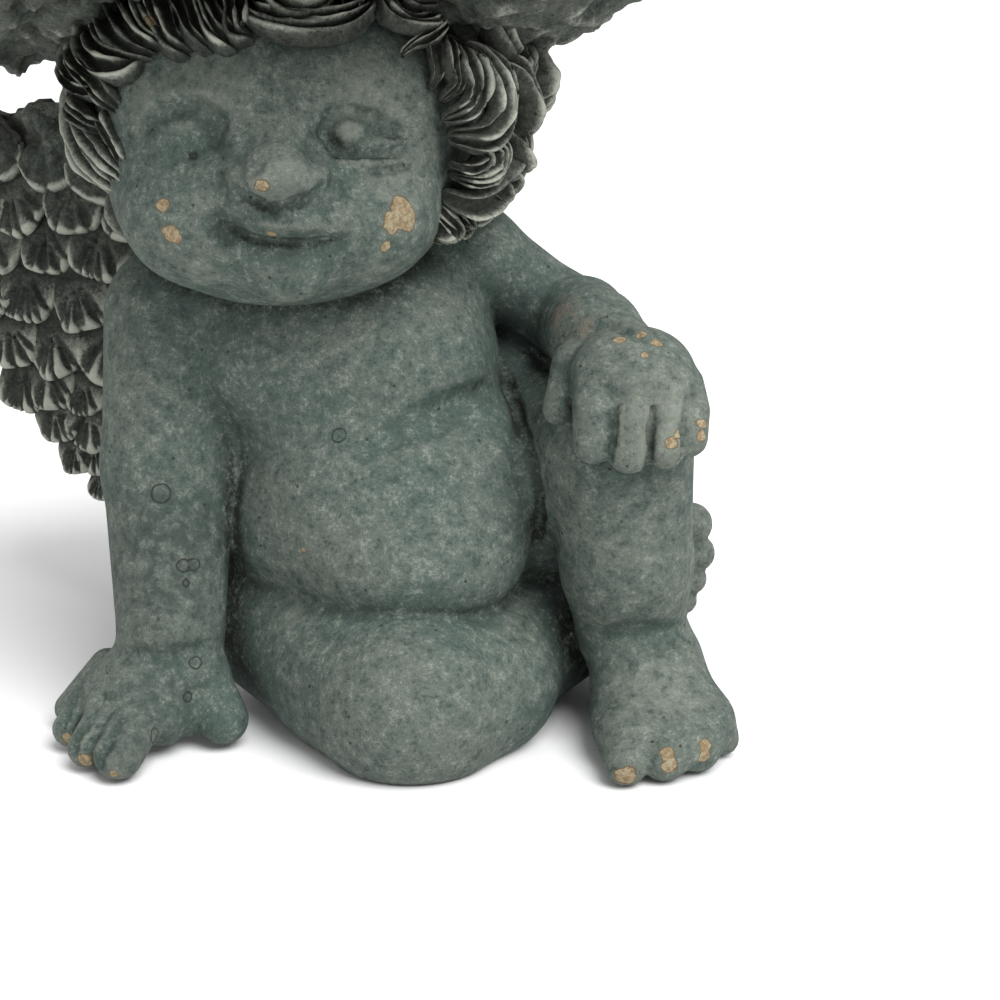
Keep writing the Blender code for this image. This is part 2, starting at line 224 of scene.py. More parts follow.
# %% [markdown]
# Eyelids, creases and lips are strokes on a surface that is already there. A stroke is given in
# front view, as a modeller sees it, and its depth is measured from the skin at that place, so
# a groove of one millimetre is one millimetre deep wherever it runs. Side -1 is seen from the
# front and side 1 from behind.

# %% Strokes
FRONT, BACK = -1, 1
RAY_STEP = 0.2                        # mm


def front(clay, x, z, side=FRONT):
    """Depth y of the first skin met by a ray at (x, z) from the front, or from behind (side 1)."""
    y = np.arange(clay.low[1], clay.axes[1][-1], RAY_STEP)[::-side]
    inside = clay.sample(np.stack([np.full_like(y, x), y, np.full_like(y, z)], 1)) < 0
    return y[np.argmax(inside)]


def ridge(clay, line, rise, blend):
    """Adds rods along (x, z, radius) points, proud of the skin by `rise`."""
    points = [(x, front(clay, x, z) + r - rise, z) for x, z, r in line]
    add(clay, chain(points, [r for _, _, r in line], blend), blend, margin=8)


def groove(clay, line, depth, blend, side=FRONT):
    """Carves rods along (x, z, radius) points, sunk below the skin by `depth`."""
    points = [(x, front(clay, x, z, side) + side * (r - depth), z) for x, z, r in line]
    carve(clay, chain(points, [r for _, _, r in line], blend))


def mound(clay, x, z, radii, rise, blend):
    """Adds an ellipsoid that stands `rise` above the skin."""
    add(clay, [ball((x, front(clay, x, z) + radii[1] - rise, z), radii, 0)], blend, margin=10)


def hollow(clay, x, z, radii, depth, blend, turn=(0, 0, 0)):
    """Carves an ellipsoid that sinks `depth` below the skin."""
    carve(clay, [ball((x, front(clay, x, z) - radii[1] + depth, z), radii, blend, turn)])


# %% [markdown]
# ## From clay to skin
# Every grid cell that the surface crosses gets one vertex, at the mean of the crossings on its
# edges, and every crossed edge gets one quad between its four cells. The result is closed and
# even, with no poles, which suits smooth shading.

# %% Skin
def skin(clay):
    """Vertices and outward quads of the zero surface (surface nets)."""
    v = clay.value
    inside = v < 0
    n = np.array(v.shape)
    full = np.zeros(n - 1, np.int8)
    for dx, dy, dz in np.ndindex(2, 2, 2):
        full += inside[dx:n[0] - 1 + dx, dy:n[1] - 1 + dy, dz:n[2] - 1 + dz]
    crossed = (full > 0) & (full < 8)
    cells = np.argwhere(crossed)
    number = np.full(crossed.shape, -1, np.int32)
    number[crossed] = np.arange(len(cells))
    total, count = np.zeros((len(cells), 3)), np.zeros(len(cells))
    for axis in range(3):
        others = [a for a in range(3) if a != axis]
        for p, q in np.ndindex(2, 2):
            a = cells.copy()
            a[:, others[0]] += p
            a[:, others[1]] += q
            b = a.copy()
            b[:, axis] += 1
            va, vb = v[tuple(a.T)], v[tuple(b.T)]
            hit = (va < 0) != (vb < 0)
            point = a[hit].astype(float)
            point[:, axis] += va[hit] / (va[hit] - vb[hit])
            total[hit] += point
            count[hit] += 1
    quads = []
    for axis in range(3):
        o = [a for a in range(3) if a != axis]
        low, high = [slice(None)] * 3, [slice(None)] * 3
        low[axis], high[axis] = slice(0, -1), slice(1, None)
        edge = np.argwhere(inside[tuple(low)] != inside[tuple(high)])
        keep = np.all([(edge[:, a] > 0) & (edge[:, a] < n[a] - 1) for a in o], axis=0)
        edge = edge[keep]
        ring = []
        for p, q in ((0, 0), (1, 0), (1, 1), (0, 1)):
            cell = edge.copy()
            cell[:, o[0]] -= p
            cell[:, o[1]] -= q
            ring.append(number[tuple(cell.T)])
        ring = np.stack(ring, 1)
        first_in = inside[tuple(edge.T)]
        flip = ~first_in if axis != 1 else first_in
        ring[flip] = ring[flip][:, ::-1]
        quads.append(ring)
    return clay.low + total / count[:, None] * clay.grain, np.concatenate(quads)


# %% Outward quads and normals
def outward(vertices, quads):
    """The quads, turned over if the solid they close has a negative volume."""
    p = vertices[quads]
    volume = np.einsum("ij,ij->i", p[:, 0], np.cross(p[:, 1], p[:, 2]) + np.cross(p[:, 2], p[:, 3])).sum() / 6
    return quads if volume > 0 else quads[:, ::-1]


def vertex_normals(vertices, quads):
    """Mean of the face normals round each vertex, weighted by area."""
    p = vertices[quads]
    face = np.cross(p[:, 2] - p[:, 0], p[:, 3] - p[:, 1])
    normal = np.zeros_like(vertices)
    for corner in range(4):
        np.add.at(normal, quads[:, corner], face)
    return normal / np.maximum(np.linalg.norm(normal, axis=1, keepdims=True), 1e-12)


# %% [markdown]
# ## Meshes with their own marks
# A finish follows the form: dirt and painted shade lie in the folds, a dry brush catches the
# ridges, and chips are where hands and knocks reach. Each mesh carries such marks as vertex
# attributes, which the materials read, so they stay in place whatever the camera does.

# %% Make a mesh
ABSENT = {"chip": -1, "stain": -1, "ring": 99, "tone": 0}      # what a mark says where there is none


def new_object(name, data):
    """An object in the scene that shows the data."""
    made = bpy.data.objects.new(name, data)
    bpy.context.scene.collection.objects.link(made)
    return made


def make_piece(name, vertices_mm, quads, marks):
    """A smooth-shaded object at the origin; marks is {attribute name: value per vertex}."""
    mesh = bpy.data.meshes.new(name)
    mesh.vertices.add(len(vertices_mm))
    mesh.vertices.foreach_set("co", to_frame(vertices_mm).ravel())
    mesh.loops.add(quads.size)
    mesh.loops.foreach_set("vertex_index", quads.ravel().astype(np.int32))
    mesh.polygons.add(len(quads))
    mesh.polygons.foreach_set("loop_start", np.arange(0, quads.size, 4, dtype=np.int32))
    mesh.polygons.foreach_set("loop_total", np.full(len(quads), 4, dtype=np.int32))
    mesh.update(calc_edges=True)
    mesh.validate()
    mesh.shade_smooth()
    for mark, value in (ABSENT | marks).items():
        values = np.broadcast_to(value, len(vertices_mm)).astype(np.float32)
        mesh.attributes.new(mark, "FLOAT", "POINT").data.foreach_set("value", values)
    tell(name, "has", len(quads) * 2, "triangles")
    return new_object(name, mesh)


# %% [markdown]
# ## The seated body
# The pose is built up as a modeller would: seat, belly and chest in one mass, the folded leg in
# front, the raised leg, then the arms. Small fillets between the groups keep the creases where
# a limb lies against the trunk; large ones inside a group let the flesh run together. Deep
# creases, the gaps between fingers and the back's furrows are cut in last.

# %% Trunk and legs
TORSO = [
    ball((0, 20, 40), (60, 52, 44), 0), ball((-6, -8, 84), (53, 49, 41), 12),
    ball((-18, 3, 126), (51, 40, 39), 14), ball((-30, 4, 148), (51, 34, 24), 14),
    rod((-80, 2, 145), (2, 12, 148), 23, 23, 12), rod((-34, 6, 150), (-38, 2, 178), 31, 30, 8),
    ball((0, -21, 129), (27, 18, 21), 12), ball((-44, -18, 130), (25, 17, 21), 12),
    ball((2, -31, 65.5), (40, 34, 26), 12), ball((-36, -10, 68), (27, 30, 25), 12),
    ball((36, 18, 98), (24, 26, 32), 6), ball((21, -17, 87), (26, 27, 31), 9),
    ball((-54, 5, 98), (19, 23, 33), 10), ball((-52, 8, 60), (22, 26, 34), 10),
    ball((26, 31, 118), (30, 14, 34), 12), ball((38, 27, 122), (24, 14, 27), 3),
]
FOLDED_LEG = [
    rod((-45, 1, 30), (-2, -58, 21.5), 31, 29.5, 0), rod((6, -58, 21.5), (66, 28, 28), 28, 24.5, 8),
    rod((62, 30, 30), (88, 52, 34), 22.5, 21, 6), ball((4, -59, 19), (32, 32, 28.5), 8),
    ball((-20, -34, 20), (24, 31, 24.5), 10), ball((24, -42, 20), (29, 29, 25), 8),
    ball((92, 56, 33), (12, 13, 24), 6), ball((88, 55, 17), (14, 11, 13), 6),
]
RIGHT_TOES = [
    rod((94, 54, 50), (107.8, 56, 49), 8.6, 8.4, 3), rod((96, 54, 37.5), (110.2, 56, 37), 7.2, 7.3, 0.5),
    rod((96, 54, 27), (108.2, 56, 26.5), 6.2, 6.4, 0.5), rod((96, 54, 18), (105.2, 56, 17.6), 5.4, 5.8, 0.5),
    rod((94, 54, 11), (102, 56, 10.4), 5, 5.3, 0.5),
]
RAISED_LEG = [
    rod((30, 26, 62), (70.8, -30, 104), 38, 26.2, 0), rod((73.4, -38, 102), (77, -34, 62), 26, 23, 5),
    rod((77, -34, 62), (79, -30, 38), 23, 20, 4), rod((42, 8, 105), (65, -22, 108), 17, 18, 6),
]
LEFT_FOOT = [
    rod((83, -8, 16), (84, -40, 18), 16, 16, 0), ball((85, -38, 25), (20, 25, 17), 8, (28, 0, 0)),
    ball((89, -58, 13), (25, 26, 12), 9, (10, 0, -14)),
]
LEFT_TOES = [
    rod((76, -64, 11), (75, -82, 7.5), 9.5, 7.5, 0), rod((87, -62, 11), (88, -79, 7.5), 8.5, 7.2, 0.8),
    rod((97, -58, 11), (100, -71, 7), 8, 6.8, 0.8), rod((105, -50, 10), (109.5, -58, 6.5), 7, 6, 0.8),
]

# %% Arms and hands
RIGHT_ARM = [
    rod((-82, 2, 143), (-84, -14, 92), 25, 23.5, 0), rod((-84.3, -14, 92), (-82.3, -36, 40), 23.2, 19.2, 4),
]
RIGHT_HAND = [
    ball((-84, -43, 25), (22, 16, 16), 0, (20, 0, 10)), ball((-93, -46, 19), (20, 20, 11), 6, (14, -6, 30)),
    ball((-84, -54, 14), (10, 12, 11), 5), ball((-75, -46, 13), (10, 8, 10), 5),
]
RIGHT_FINGERS = [
    rod((-88, -48, 20), (-95, -78.5, 9), 9.5, 8.3, 0), rod((-98, -44, 20), (-107, -70, 8), 8, 6.8, 0.6),
    rod((-104, -36, 20), (-116, -53, 8), 7.5, 6.4, 0.6),
    rod((-107, -27, 21), (-120, -33, 7.5), 6.8, 5.8, 0.6), rod((-72, -40, 22), (-63.5, -50, 10.5), 10, 9, 4),
]
LEFT_ARM = [
    rod((6, 14, 160), (22, 14, 163), 20, 17.5, 0), rod((22, 14, 163), (54, 18, 141), 17.5, 14.8, 6),
    rod((52, 19, 141), (62, 6, 139.5), 15, 16, 4), rod((62, 4, 139.5), (66, -18, 139.5), 16.5, 16.2, 2.5),
    rod((66, -18, 139.5), (75, -38, 134), 16, 14.5, 3),
]
LEFT_HAND = [
    ball((78, -44, 132.5), (20, 19, 15.5), 0, (-28, 0, 0)),
    ball((79, -56.5, 130), (19.2, 17, 12.5), 8, (-20, 0, -6)), ball((68, -50, 132), (11.5, 14, 13), 6),
]
LEFT_FINGERS = (
    chain([(65, -58, 132), (64, -66, 125), (63.4, -68.5, 114.6)], [7.6, 7.6, 6.9], 0.2)
    + chain([(76, -60, 132), (75.8, -68.5, 124), (75, -70.5, 112.2)], [7.6, 7.7, 7.2], 0.2)
    + chain([(87, -58, 131), (87.3, -66, 123.5), (86.6, -69, 113.2)], [7.4, 7.5, 7.0], 0.2)
    + chain([(94, -50, 130), (95.4, -58.5, 123), (95, -63.5, 115)], [6.8, 6.8, 6.3], 0.2)
)
LEFT_THUMB = [rod((58, -37, 134), (52.9, -49, 121.6), 7.8, 6.0, 0)]
BODY_GROUPS = [
    (TORSO, 0), (FOLDED_LEG, 3.5), (RIGHT_TOES, 1.5), (RAISED_LEG, 3), (LEFT_FOOT, 3.5), (LEFT_TOES, 4),
    (RIGHT_ARM, 4), (RIGHT_HAND, 4), (RIGHT_FINGERS, 3), (LEFT_ARM, 2.5), (LEFT_HAND, 1.5), (LEFT_THUMB, 1.5),
    (LEFT_FINGERS, 1.2),
]
print(sum(len(lumps) for lumps, fillet in BODY_GROUPS), "lumps in", len(BODY_GROUPS), "groups")

# %% Creases
# Some of these points were worked out by a separate helper, and most were moved by eye.
BODY_CREASES = [  # place, (x, z, radius) points, depth, blend, side
    ("chest", [(-13, 107, 2), (-2, 111.8, 3.5), (12, 117.2, 4), (22, 120.6, 3.5), (28, 122, 2)],
     1.4, 5, FRONT),
    ("belly and thigh", [(32.6, 134, 1.6), (33.4, 127, 2), (35.5, 119, 2), (39.2, 112.6, 2), (42.6, 106, 2),
                         (45, 99, 2), (46.4, 91, 2), (47, 81, 2), (46, 71, 1.6)], 3.2, 2, FRONT),
    ("left wrist", [(62, 145.5, 1.2), (68, 148, 1.5), (74, 148.4, 1.5), (80, 146.4, 1.2)], 0.9, 2.5, FRONT),
    ("right wrist", [(-97, 35.5, 1.5), (-88, 34.6, 2.5), (-78, 35, 2.5), (-69, 36.5, 1.5)], 0.6, 5, FRONT),
    ("left hand", [(70.8, 127, 0.9), (70.2, 121, 1.4), (69, 112, 1.4)], 2.2, 0.8, FRONT),
    ("left hand", [(82, 128, 0.9), (81.6, 121, 1.4), (80.8, 109, 1.4)], 2.2, 0.8, FRONT),
    ("left hand", [(92, 126, 0.9), (92, 120, 1.4), (91.4, 110, 1.4)], 2.2, 0.8, FRONT),
    ("right hand", [(-113, 22, 1.2), (-116.5, 15, 1.6), (-118, 9, 1.4)], 1.8, 1.4, FRONT),
    ("right hand", [(-102.7, 22.8, 1.2), (-107, 16.7, 1.7), (-111, 9.5, 1.6)], 1.8, 1.4, FRONT),
    ("right hand", [(-93.9, 20.2, 1.2), (-97.4, 15.4, 1.8), (-100.6, 8, 1.7)], 1.8, 1.4, FRONT),
    ("left ankle", [(67, 40.6, 2.5), (75, 41.6, 3.5), (84, 41.8, 3.5), (94, 40.4, 2.5)], 1.1, 5, FRONT),
    ("spine", [(-31, 158, 3), (-29, 138, 4), (-20, 112, 5), (-9, 88, 5), (-3, 62, 4)], 1.8, 9, BACK),
    ("seat", [(-1, 46, 2.5), (0, 30, 3.5), (0, 12, 3.5)], 4.5, 7, BACK),
    ("waist", [(-44, 64, 2.5), (-22, 56, 3.5), (18, 55, 3.5), (34, 62, 2.5)], 1.2, 8, BACK),
]

# %% Model the body
BODY_GRAIN = 1.5
SOLE_ROUNDING = 2.5
body_clay = Clay((-140, -105, -6), (125, 85, 190), BODY_GRAIN)
for lumps, fillet in BODY_GROUPS:
    add(body_clay, lumps, fillet)
for place, line, depth, blend, side in BODY_CREASES:
    groove(body_clay, line, depth, blend, side)
    print("cut a crease:", place)
over_ground = body_clay.axes[2][None, None, :]
body_clay.value[:] = smooth_max(body_clay.value, -over_ground, SOLE_ROUNDING)
tell("body modelled")

# %% [markdown]
# ## The head
# The face is a child's, round and nearly closed in expression: full cheeks, a small chin, a
# blunt nose and eyes that are only shallow bowls with a soft ball in them. Worn casting has no
# sharp lids, so the grooves are wide and faint. Some points of the strokes were worked out by a
# separate helper and most were moved by eye. The scalp is a coarser clay of its own, cut away in
# front of the face by one large hollow, and carries the locks later.

# %% Head lumps
FACE = [
    ball((-42.5, -5, 211), (58, 56, 51), 0), ball((-40.5, -18, 188), (56.5, 45, 37), 14),
    ball((-69, -43, 185), (20, 17, 20), 12), ball((-10, -43, 185), (20, 17, 20), 12),
    ball((-75, -19, 219), (25, 27, 30), 14), ball((-7, -19, 219), (25, 27, 30), 14),
    ball((-36, -55, 168), (14, 10, 9), 9), ball((-37, -56.5, 186), (22, 10, 14), 10),
]
NOSE = [
    rod((-37.5, -54, 213), (-37, -65, 205), 5.5, 8, 0), ball((-36.8, -68.6, 201.6), (10.4, 9.2, 8.2), 5),
    ball((-47.4, -62.5, 199.2), (6, 7.2, 5.6), 3), ball((-27.2, -62.5, 199.2), (6, 7.2, 5.6), 3),
    ball((-36.6, -67, 196.5), (5.5, 6, 5), 3),
]
SCALP = [ball((-37, 4, 211), (66, 60, 53), 0), cut(ball((-41, -78, 196), (66, 66, 52), 6))]

# %% Face strokes
FACE_STROKES = [  # stroke, then its own numbers, in the order in which they are made
    (hollow, -67, 214, (13, 9, 10), 2.6, 6),                    # eye sockets
    (hollow, -12.5, 212.8, (13.5, 9, 8.5), 1.5, 8),
    (mound, -67, 215, (7.4, 6, 6.4), 2.2, 3.5),                 # closed eyes
    (mound, -15.6, 213.6, (6.3, 6, 6.2), 3.3, 1.6),
    (groove, [(-79.5, 215, 1.2), (-76, 219, 1.6), (-69, 221.6, 1.8), (-61.5, 220.6, 2.0), (-57.2, 216, 2.2),
              (-57.8, 211.5, 1.6)], 1.2, 4),                    # arcs round the eyes
    (groove, [(-20.6, 209, 1.0), (-22.8, 213.4, 1.4), (-20.8, 218.2, 1.5), (-16.4, 220.4, 1.5),
              (-11.6, 219.2, 1.4), (-7.4, 217, 1.2), (-3, 214.4, 1.1), (2.3, 212.1, 0.9)], 1.2, 3),
    (groove, [(-21.4, 209.6, 1.1), (-18.6, 207.2, 1.3), (-14.6, 206, 1.4), (-8, 206, 1.3), (-3, 206.4, 1.1),
              (1.5, 207.4, 0.9)], 0.9, 2.6),
    (groove, [(-9.2, 213, 0.9), (-6, 213.6, 1.1), (-1, 211.4, 0.9)], 0.9, 1.4),        # laughing lines
    (ridge, [(-18, 204.0, 1.1), (-10, 203.4, 1.4), (-1, 203.6, 1.0)], 0.8, 1.6),
    (groove, [(-8, 201.4, 0.9), (-2, 201.2, 1.1), (3.4, 202.4, 0.9)], 1.0, 1.4),
    (hollow, -65.1, 206.2, (1.6, 2, 1.3), 2.0, 0.6),            # a blow hole under the eye
    (groove, [(-56.6, 200, 1.4), (-55.6, 196, 1.8), (-52, 192.6, 1.4)], 0.6, 3),       # beside the nose
    (groove, [(-19.0, 200, 1.4), (-19.0, 196, 1.8), (-22.4, 191.6, 1.4)], 0.7, 3),
    (mound, -33, 204, (4.4, 3, 3), 0.5, 4),                     # worn lumps on the nose
    (mound, -41, 201, (4, 3, 3), 0.5, 4),
    (hollow, -43.5, 206.5, (3, 3, 3), 0.7, 3),
    (hollow, -43, 194.2, (3.4, 3, 2.1), 3.2, 1.6),              # nostrils
    (hollow, -31, 194.2, (3.6, 3, 2.1), 3.2, 1.6),
    (groove, [(-50.5, 198, 1.1), (-48, 194.6, 1.3), (-42, 192.8, 1.4), (-36.6, 192.2, 1.4), (-31, 192.8, 1.4),
              (-25.6, 194.8, 1.3), (-22.8, 198.4, 1.1)], 1.1, 1.8),                    # under the nose
    (groove, [(-38.6, 191.6, 1.4), (-38.4, 188.6, 1.6)], 0.8, 2.5),
    (mound, -37.5, 185.4, (13, 5, 4.2), 1.5, 3),                # upper lip
    (hollow, -54.4, 183.4, (4.4, 3.5, 4.2), 1.6, 3, (0, -40, 0)),                      # corner of the smile
    (groove, [(-57, 186.4, 1.8), (-54, 182.6, 2.6), (-49, 180, 3.2), (-43, 178.6, 3.6), (-36, 177.6, 3.6),
              (-28, 177.4, 3.2), (-20, 178.6, 2.4)], 1.9, 5),   # hollow under the lip
    (groove, [(-55.4, 185.4, 0.9), (-51.7, 183.4, 1.1), (-48.8, 181.8, 1.2), (-45, 180.4, 1.2),
              (-40, 179.6, 1.2), (-34, 179.4, 1.1), (-27, 179.5, 1.1), (-23, 180, 1.0), (-20, 181.2, 0.9)],
     1.2, 1.5),                                                 # the line of the mouth
    (mound, -37, 172.8, (9, 4, 3.4), 0.5, 4),                   # chin
]

# %% Model the head
HEAD_GRAIN = 0.85
NOSE_FILLET = 8
head_clay = Clay((-116, -88, 140), (44, 30, 262), HEAD_GRAIN)
add(head_clay, FACE, 0)
add(head_clay, NOSE, NOSE_FILLET)
for stroke, *numbers in FACE_STROKES:
    stroke(head_clay, *numbers)
tell("face modelled with", len(FACE_STROKES), "strokes")

# %% Model the scalp
SCALP_GRAIN, SCALP_FILLET = 2.4, 3
scalp_clay = Clay((-116, -68, 150), (44, 70, 268), SCALP_GRAIN)
add(scalp_clay, SCALP, SCALP_FILLET)
tell("scalp modelled")

# %% [markdown]
# ## A map of painted shade and dirt
# Folds, creases, gaps between parts and the places under the basin are painted darker, for the
# shade that falls there as well as the dirt that lies there. A coarse copy of the figure, with a
# plain disc for the basin, tells for any point how closed in it is: the distance a few steps out
# along the normal is compared with the length of the step.

# %% Painted shade and dirt
SHADE_AND_DIRT_GRAIN, SHADE_AND_DIRT_FAR, SHADE_AND_DIRT_MARGIN = 3.0, 40.0, 30
ROUGH_BASIN = [ball((-38, 15, 274), (120, 120, 20), 0)]
shade_and_dirt_clay = Clay((-190, -115, -10), (135, 175, 300), SHADE_AND_DIRT_GRAIN, SHADE_AND_DIRT_FAR)
for lumps, fillet in BODY_GROUPS + [(FACE, 0), (SCALP, SCALP_FILLET), (ROUGH_BASIN, 2)]:
    add(shade_and_dirt_clay, lumps, fillet, SHADE_AND_DIRT_MARGIN)
tell("rough figure ready")


# Painted shade and dirt: this measure darkens every mesh where it is closed in.
def shade_and_dirt(points, normals, clays, steps=(3, 7, 14, 26)):
    """0 in the open to 1 in a deep fold: the mean over the steps of 1 - distance / step."""
    closed = 0
    for step in steps:
        out = points + normals * step
        near = np.min([clay.sample(out) for clay in clays], axis=0)
        closed = closed + np.clip(1 - near / step, 0, 1)
    return closed / len(steps)


# %% [markdown]
# ## Chips and casting marks
# Where the paint is knocked off, the ochre body of the casting shows. Each chip is a point and
# a radius; its mark falls from 1 at the middle to 0 at the edge and below, and the material
# breaks that edge up with noise. Air bubbles that burst left thin rings, so their mark is the
# distance to the ring, in millimetres, and the material draws a line where it is near 0. The
# paint is also made paler or darker in broad, soft patches: those are the tones, which are
# painted highlight and painted shade as well as rubbed and darker paint. Many of the places
# below were worked out by a separate helper, so they too are data.

# %% Chips
def on_skin(clay, spots):
    """[(x, z, radius, ...)] in front view to [(point on the skin, radius, ...)]."""
    return [((x, front(clay, x, z), z), *rest) for x, z, *rest in spots]


HEAD_CHIPS = on_skin(head_clay, [
    (0.6, 191, 3.4), (3.0, 188, 3.2), (-1.5, 185.5, 4.0), (3.4, 184.6, 3.0), (-3.7, 177.5, 2.2),
    (-75.1, 190.9, 2.6), (-72.6, 182.2, 3.2), (-70.4, 180.6, 2.4), (-40.9, 199.4, 2.6), (-40, 182.9, 1.9)])
BODY_CHIPS = on_skin(body_clay, [
    (72.1, 146.5, 2.2), (79.6, 147.6, 2.2), (84.2, 145.6, 2.5), (79.9, 143, 1.7), (88.6, 116.6, 2.6),
    (90.6, 119.2, 2.0), (98.8, 120.4, 2.2), (98.6, 117, 2.3), (74.3, 5.8, 4.2), (88.4, 12.2, 3.0),
    (89.6, 8.4, 3.2), (101.6, 12.8, 2.8), (101.6, 9.4, 2.6), (110.8, 9.6, 2.8), (-95.5, 5.5, 1.8),
    (-106.5, 6, 3.0), (-115.5, 6.5, 2.4), (-33.8, 72.2, 1.6)])
HAIR_CHIPS = [((-79, -43, 247), 2.6), ((-28, -57, 249), 1.6), ((-23, -57, 250), 1.8), ((26, -24, 216), 2.2)]
RINGS = on_skin(body_clay, [
    (-21.4, 110.6, 2.5), (-83.1, 89.1, 3.3), (-75.6, 65.2, 2.2), (-72.2, 65.0, 2.2), (-74.6, 59.4, 1.3),
    (-71.9, 32.2, 2.2), (-74.4, 21.6, 1.8), (-84.2, 12.6, 2.5)])
STAINS = on_skin(body_clay, [(53.7, 149, 12), (60, 146, 8)])
# Head tones: painted highlight and painted shade, along with rubbed and darker paint; the dark spots under
# the nose and at the corners of the mouth stand for shade.
HEAD_LIGHT_AND_WEAR_TONES = on_skin(head_clay, [  # x, z, radius, how much paler or darker
    (-58.7, 230, 16, 0.9), (-8, 229, 16, 0.9), (-80.9, 222.8, 8, 0.6), (-65.4, 190.5, 9, 0.35),
    (-62.1, 168.6, 9, 0.7), (-34.3, 160.5, 9, 0.7), (-5.9, 168.5, 10, 0.6), (-34, 171, 7, -0.3),
    (1.4, 195.2, 12, 0.6), (-36.2, 204, 8, 0.6), (-48, 199.6, 4, 0.4), (-26.8, 199.8, 4, 0.4),
    (-36.6, 186, 7, 0.5), (-15.5, 214.3, 4.5, 0.7), (-66.6, 216.1, 5, 0.4), (-68, 221, 6, -0.3),
    (-54.5, 210.2, 9, -0.6), (-52.5, 180.5, 7, -0.7), (-37.1, 175.2, 9, -0.4), (-21.3, 176.9, 8, -0.5),
    (-32, 226, 9, -0.5), (0.2, 236, 8, -0.7), (-40.8, 191.5, 4, -0.6), (-21, 197, 6, -0.6),
    (-32, 191.8, 4, -0.5), (-50, 203, 6, -0.5), (-25, 206, 5, -0.5), (-66, 207, 9, -0.35),
    (-58, 190, 8, -0.3)])
# Body tones: painted highlight and painted shade, along with rubbed and darker paint; the darkest spots lie
# in the gap between chest and arm, where shade falls.
BODY_LIGHT_AND_WEAR_TONES = on_skin(body_clay, [
    (-86.8, 79.1, 20, -0.7), (-82.8, 56.3, 18, -0.7), (-65.8, 74.6, 12, -0.5), (-82.8, 24.7, 18, -0.6),
    (-92.8, 14.7, 14, -0.6), (-41.1, 47.3, 14, 0.5), (-58.5, 34.1, 10, -0.3), (85.9, 125.1, 13, 1.0),
    (79.8, 141.9, 12, 0.25), (53.2, 129.9, 9, -0.5), (74.9, 76.8, 17, 0.6), (57, 89.6, 12, -0.5),
    (85.8, 26.1, 18, 0.8), (41.6, 42.7, 14, 0.5), (44, 141, 11, -0.9), (36, 146, 9, -0.6),
    (53, 136, 9, -0.6), (40, 129, 13, -1.0), (44, 113, 9, -0.7), (44, 99, 8, -0.6),
    (-94, 126, 14, -0.3), (-70.3, 118.9, 10, -0.4), (-40, 126, 14, -0.3)])
print(len(HEAD_CHIPS) + len(BODY_CHIPS) + len(HAIR_CHIPS), "chips,", len(RINGS), "rings")


# %% Marks from spots
def patch_mark(points, spots):
    """Largest of 1 - distance / radius over the spots, kept between -1 and 1."""
    best = np.full(len(points), -1.0)
    for centre, radius in spots:
        best = np.maximum(best, 1 - np.linalg.norm(points - centre, axis=1) / radius)
    return best


def soft_mark(points, spots):
    """Sum over the spots of strength * exp(-(distance / radius)^2), kept between -1 and 1."""
    total = np.zeros(len(points))
    for centre, radius, strength in spots:
        total += strength * np.exp(-(np.linalg.norm(points - centre, axis=1) / radius) ** 2)
    return np.clip(total, -1, 1)


def ring_mark(points):
    """Distance in millimetres outside the nearest ring; negative inside it."""
    return np.min([np.linalg.norm(points - centre, axis=1) - radius for centre, radius in RINGS], axis=0)


def bulge(points, normals, clay, steps=(2.5, 5, 9)):
    """0 on flat or hollow skin, more on knuckles and noses: the mean over the steps inward of
    1 + distance / step, since under a bulge the skin is nearer than the step."""
    return np.mean([1 + clay.sample(points - normals * step) / step for step in steps], axis=0)


# %% A clay with its marks
def clay_piece(name, clay, spots, light_and_wear_tones):
    """Skin of a clay with its marks; the rough figure only adds to how closed in the skin is, which paints
    shade and grime.
    """
    points, quads = skin(clay)
    quads = outward(points, quads)
    normals = vertex_normals(points, quads)
    fold = shade_and_dirt(points, normals, [clay], steps=(1.5, 3, 4.5))
    # Painted shade with dirt: two of these marks darken the skin where the rough figure closes it in and in
    # its own creases.
    marks = {
        "shade_and_dirt": shade_and_dirt(points, normals, [clay, shade_and_dirt_clay]),
        "valley_shade_and_dirt": np.clip(fold * 2.2 - 0.5, 0, 1),
        "relief": np.clip(bulge(points, normals, clay) * 3.2 - 0.15, 0, 1) * np.clip(1 - fold * 4, 0, 1),
        "chip": patch_mark(points, spots),
        "stain": patch_mark(points, STAINS),
        "ring": ring_mark(points),
        "tone": soft_mark(points, light_and_wear_tones),
    }
    return make_piece(name, points, quads, marks)


# %% Skin the body and the head
body = clay_piece("putto_body", body_clay, BODY_CHIPS, BODY_LIGHT_AND_WEAR_TONES)
head = clay_piece("putto_head", head_clay, HEAD_CHIPS, HEAD_LIGHT_AND_WEAR_TONES)
scalp = clay_piece("putto_scalp", scalp_clay, [], [])

# %% [markdown]
# ## Surfaces on a grid of two parameters
# Hair, feathers and basin are sheets with a clear direction: along the lock, from quill to tip,
# round the rim. These are computed as a grid of points, closed at the ends, and each point
# knows how high it stands on the relief, which the dry brush needs.

# %% Grid helpers
def tube_quads(rows, columns):
    """Quads of a closed tube of rows by columns points, each end closed by its last ring
    having shrunk to a point."""
    i, j = np.meshgrid(np.arange(rows - 1), np.arange(columns), indexing="ij")
    k = (j + 1) % columns
    quads = np.stack([i * columns + j, i * columns + k, (i + 1) * columns + k, (i + 1) * columns + j], -1)
    return quads.reshape(-1, 4)


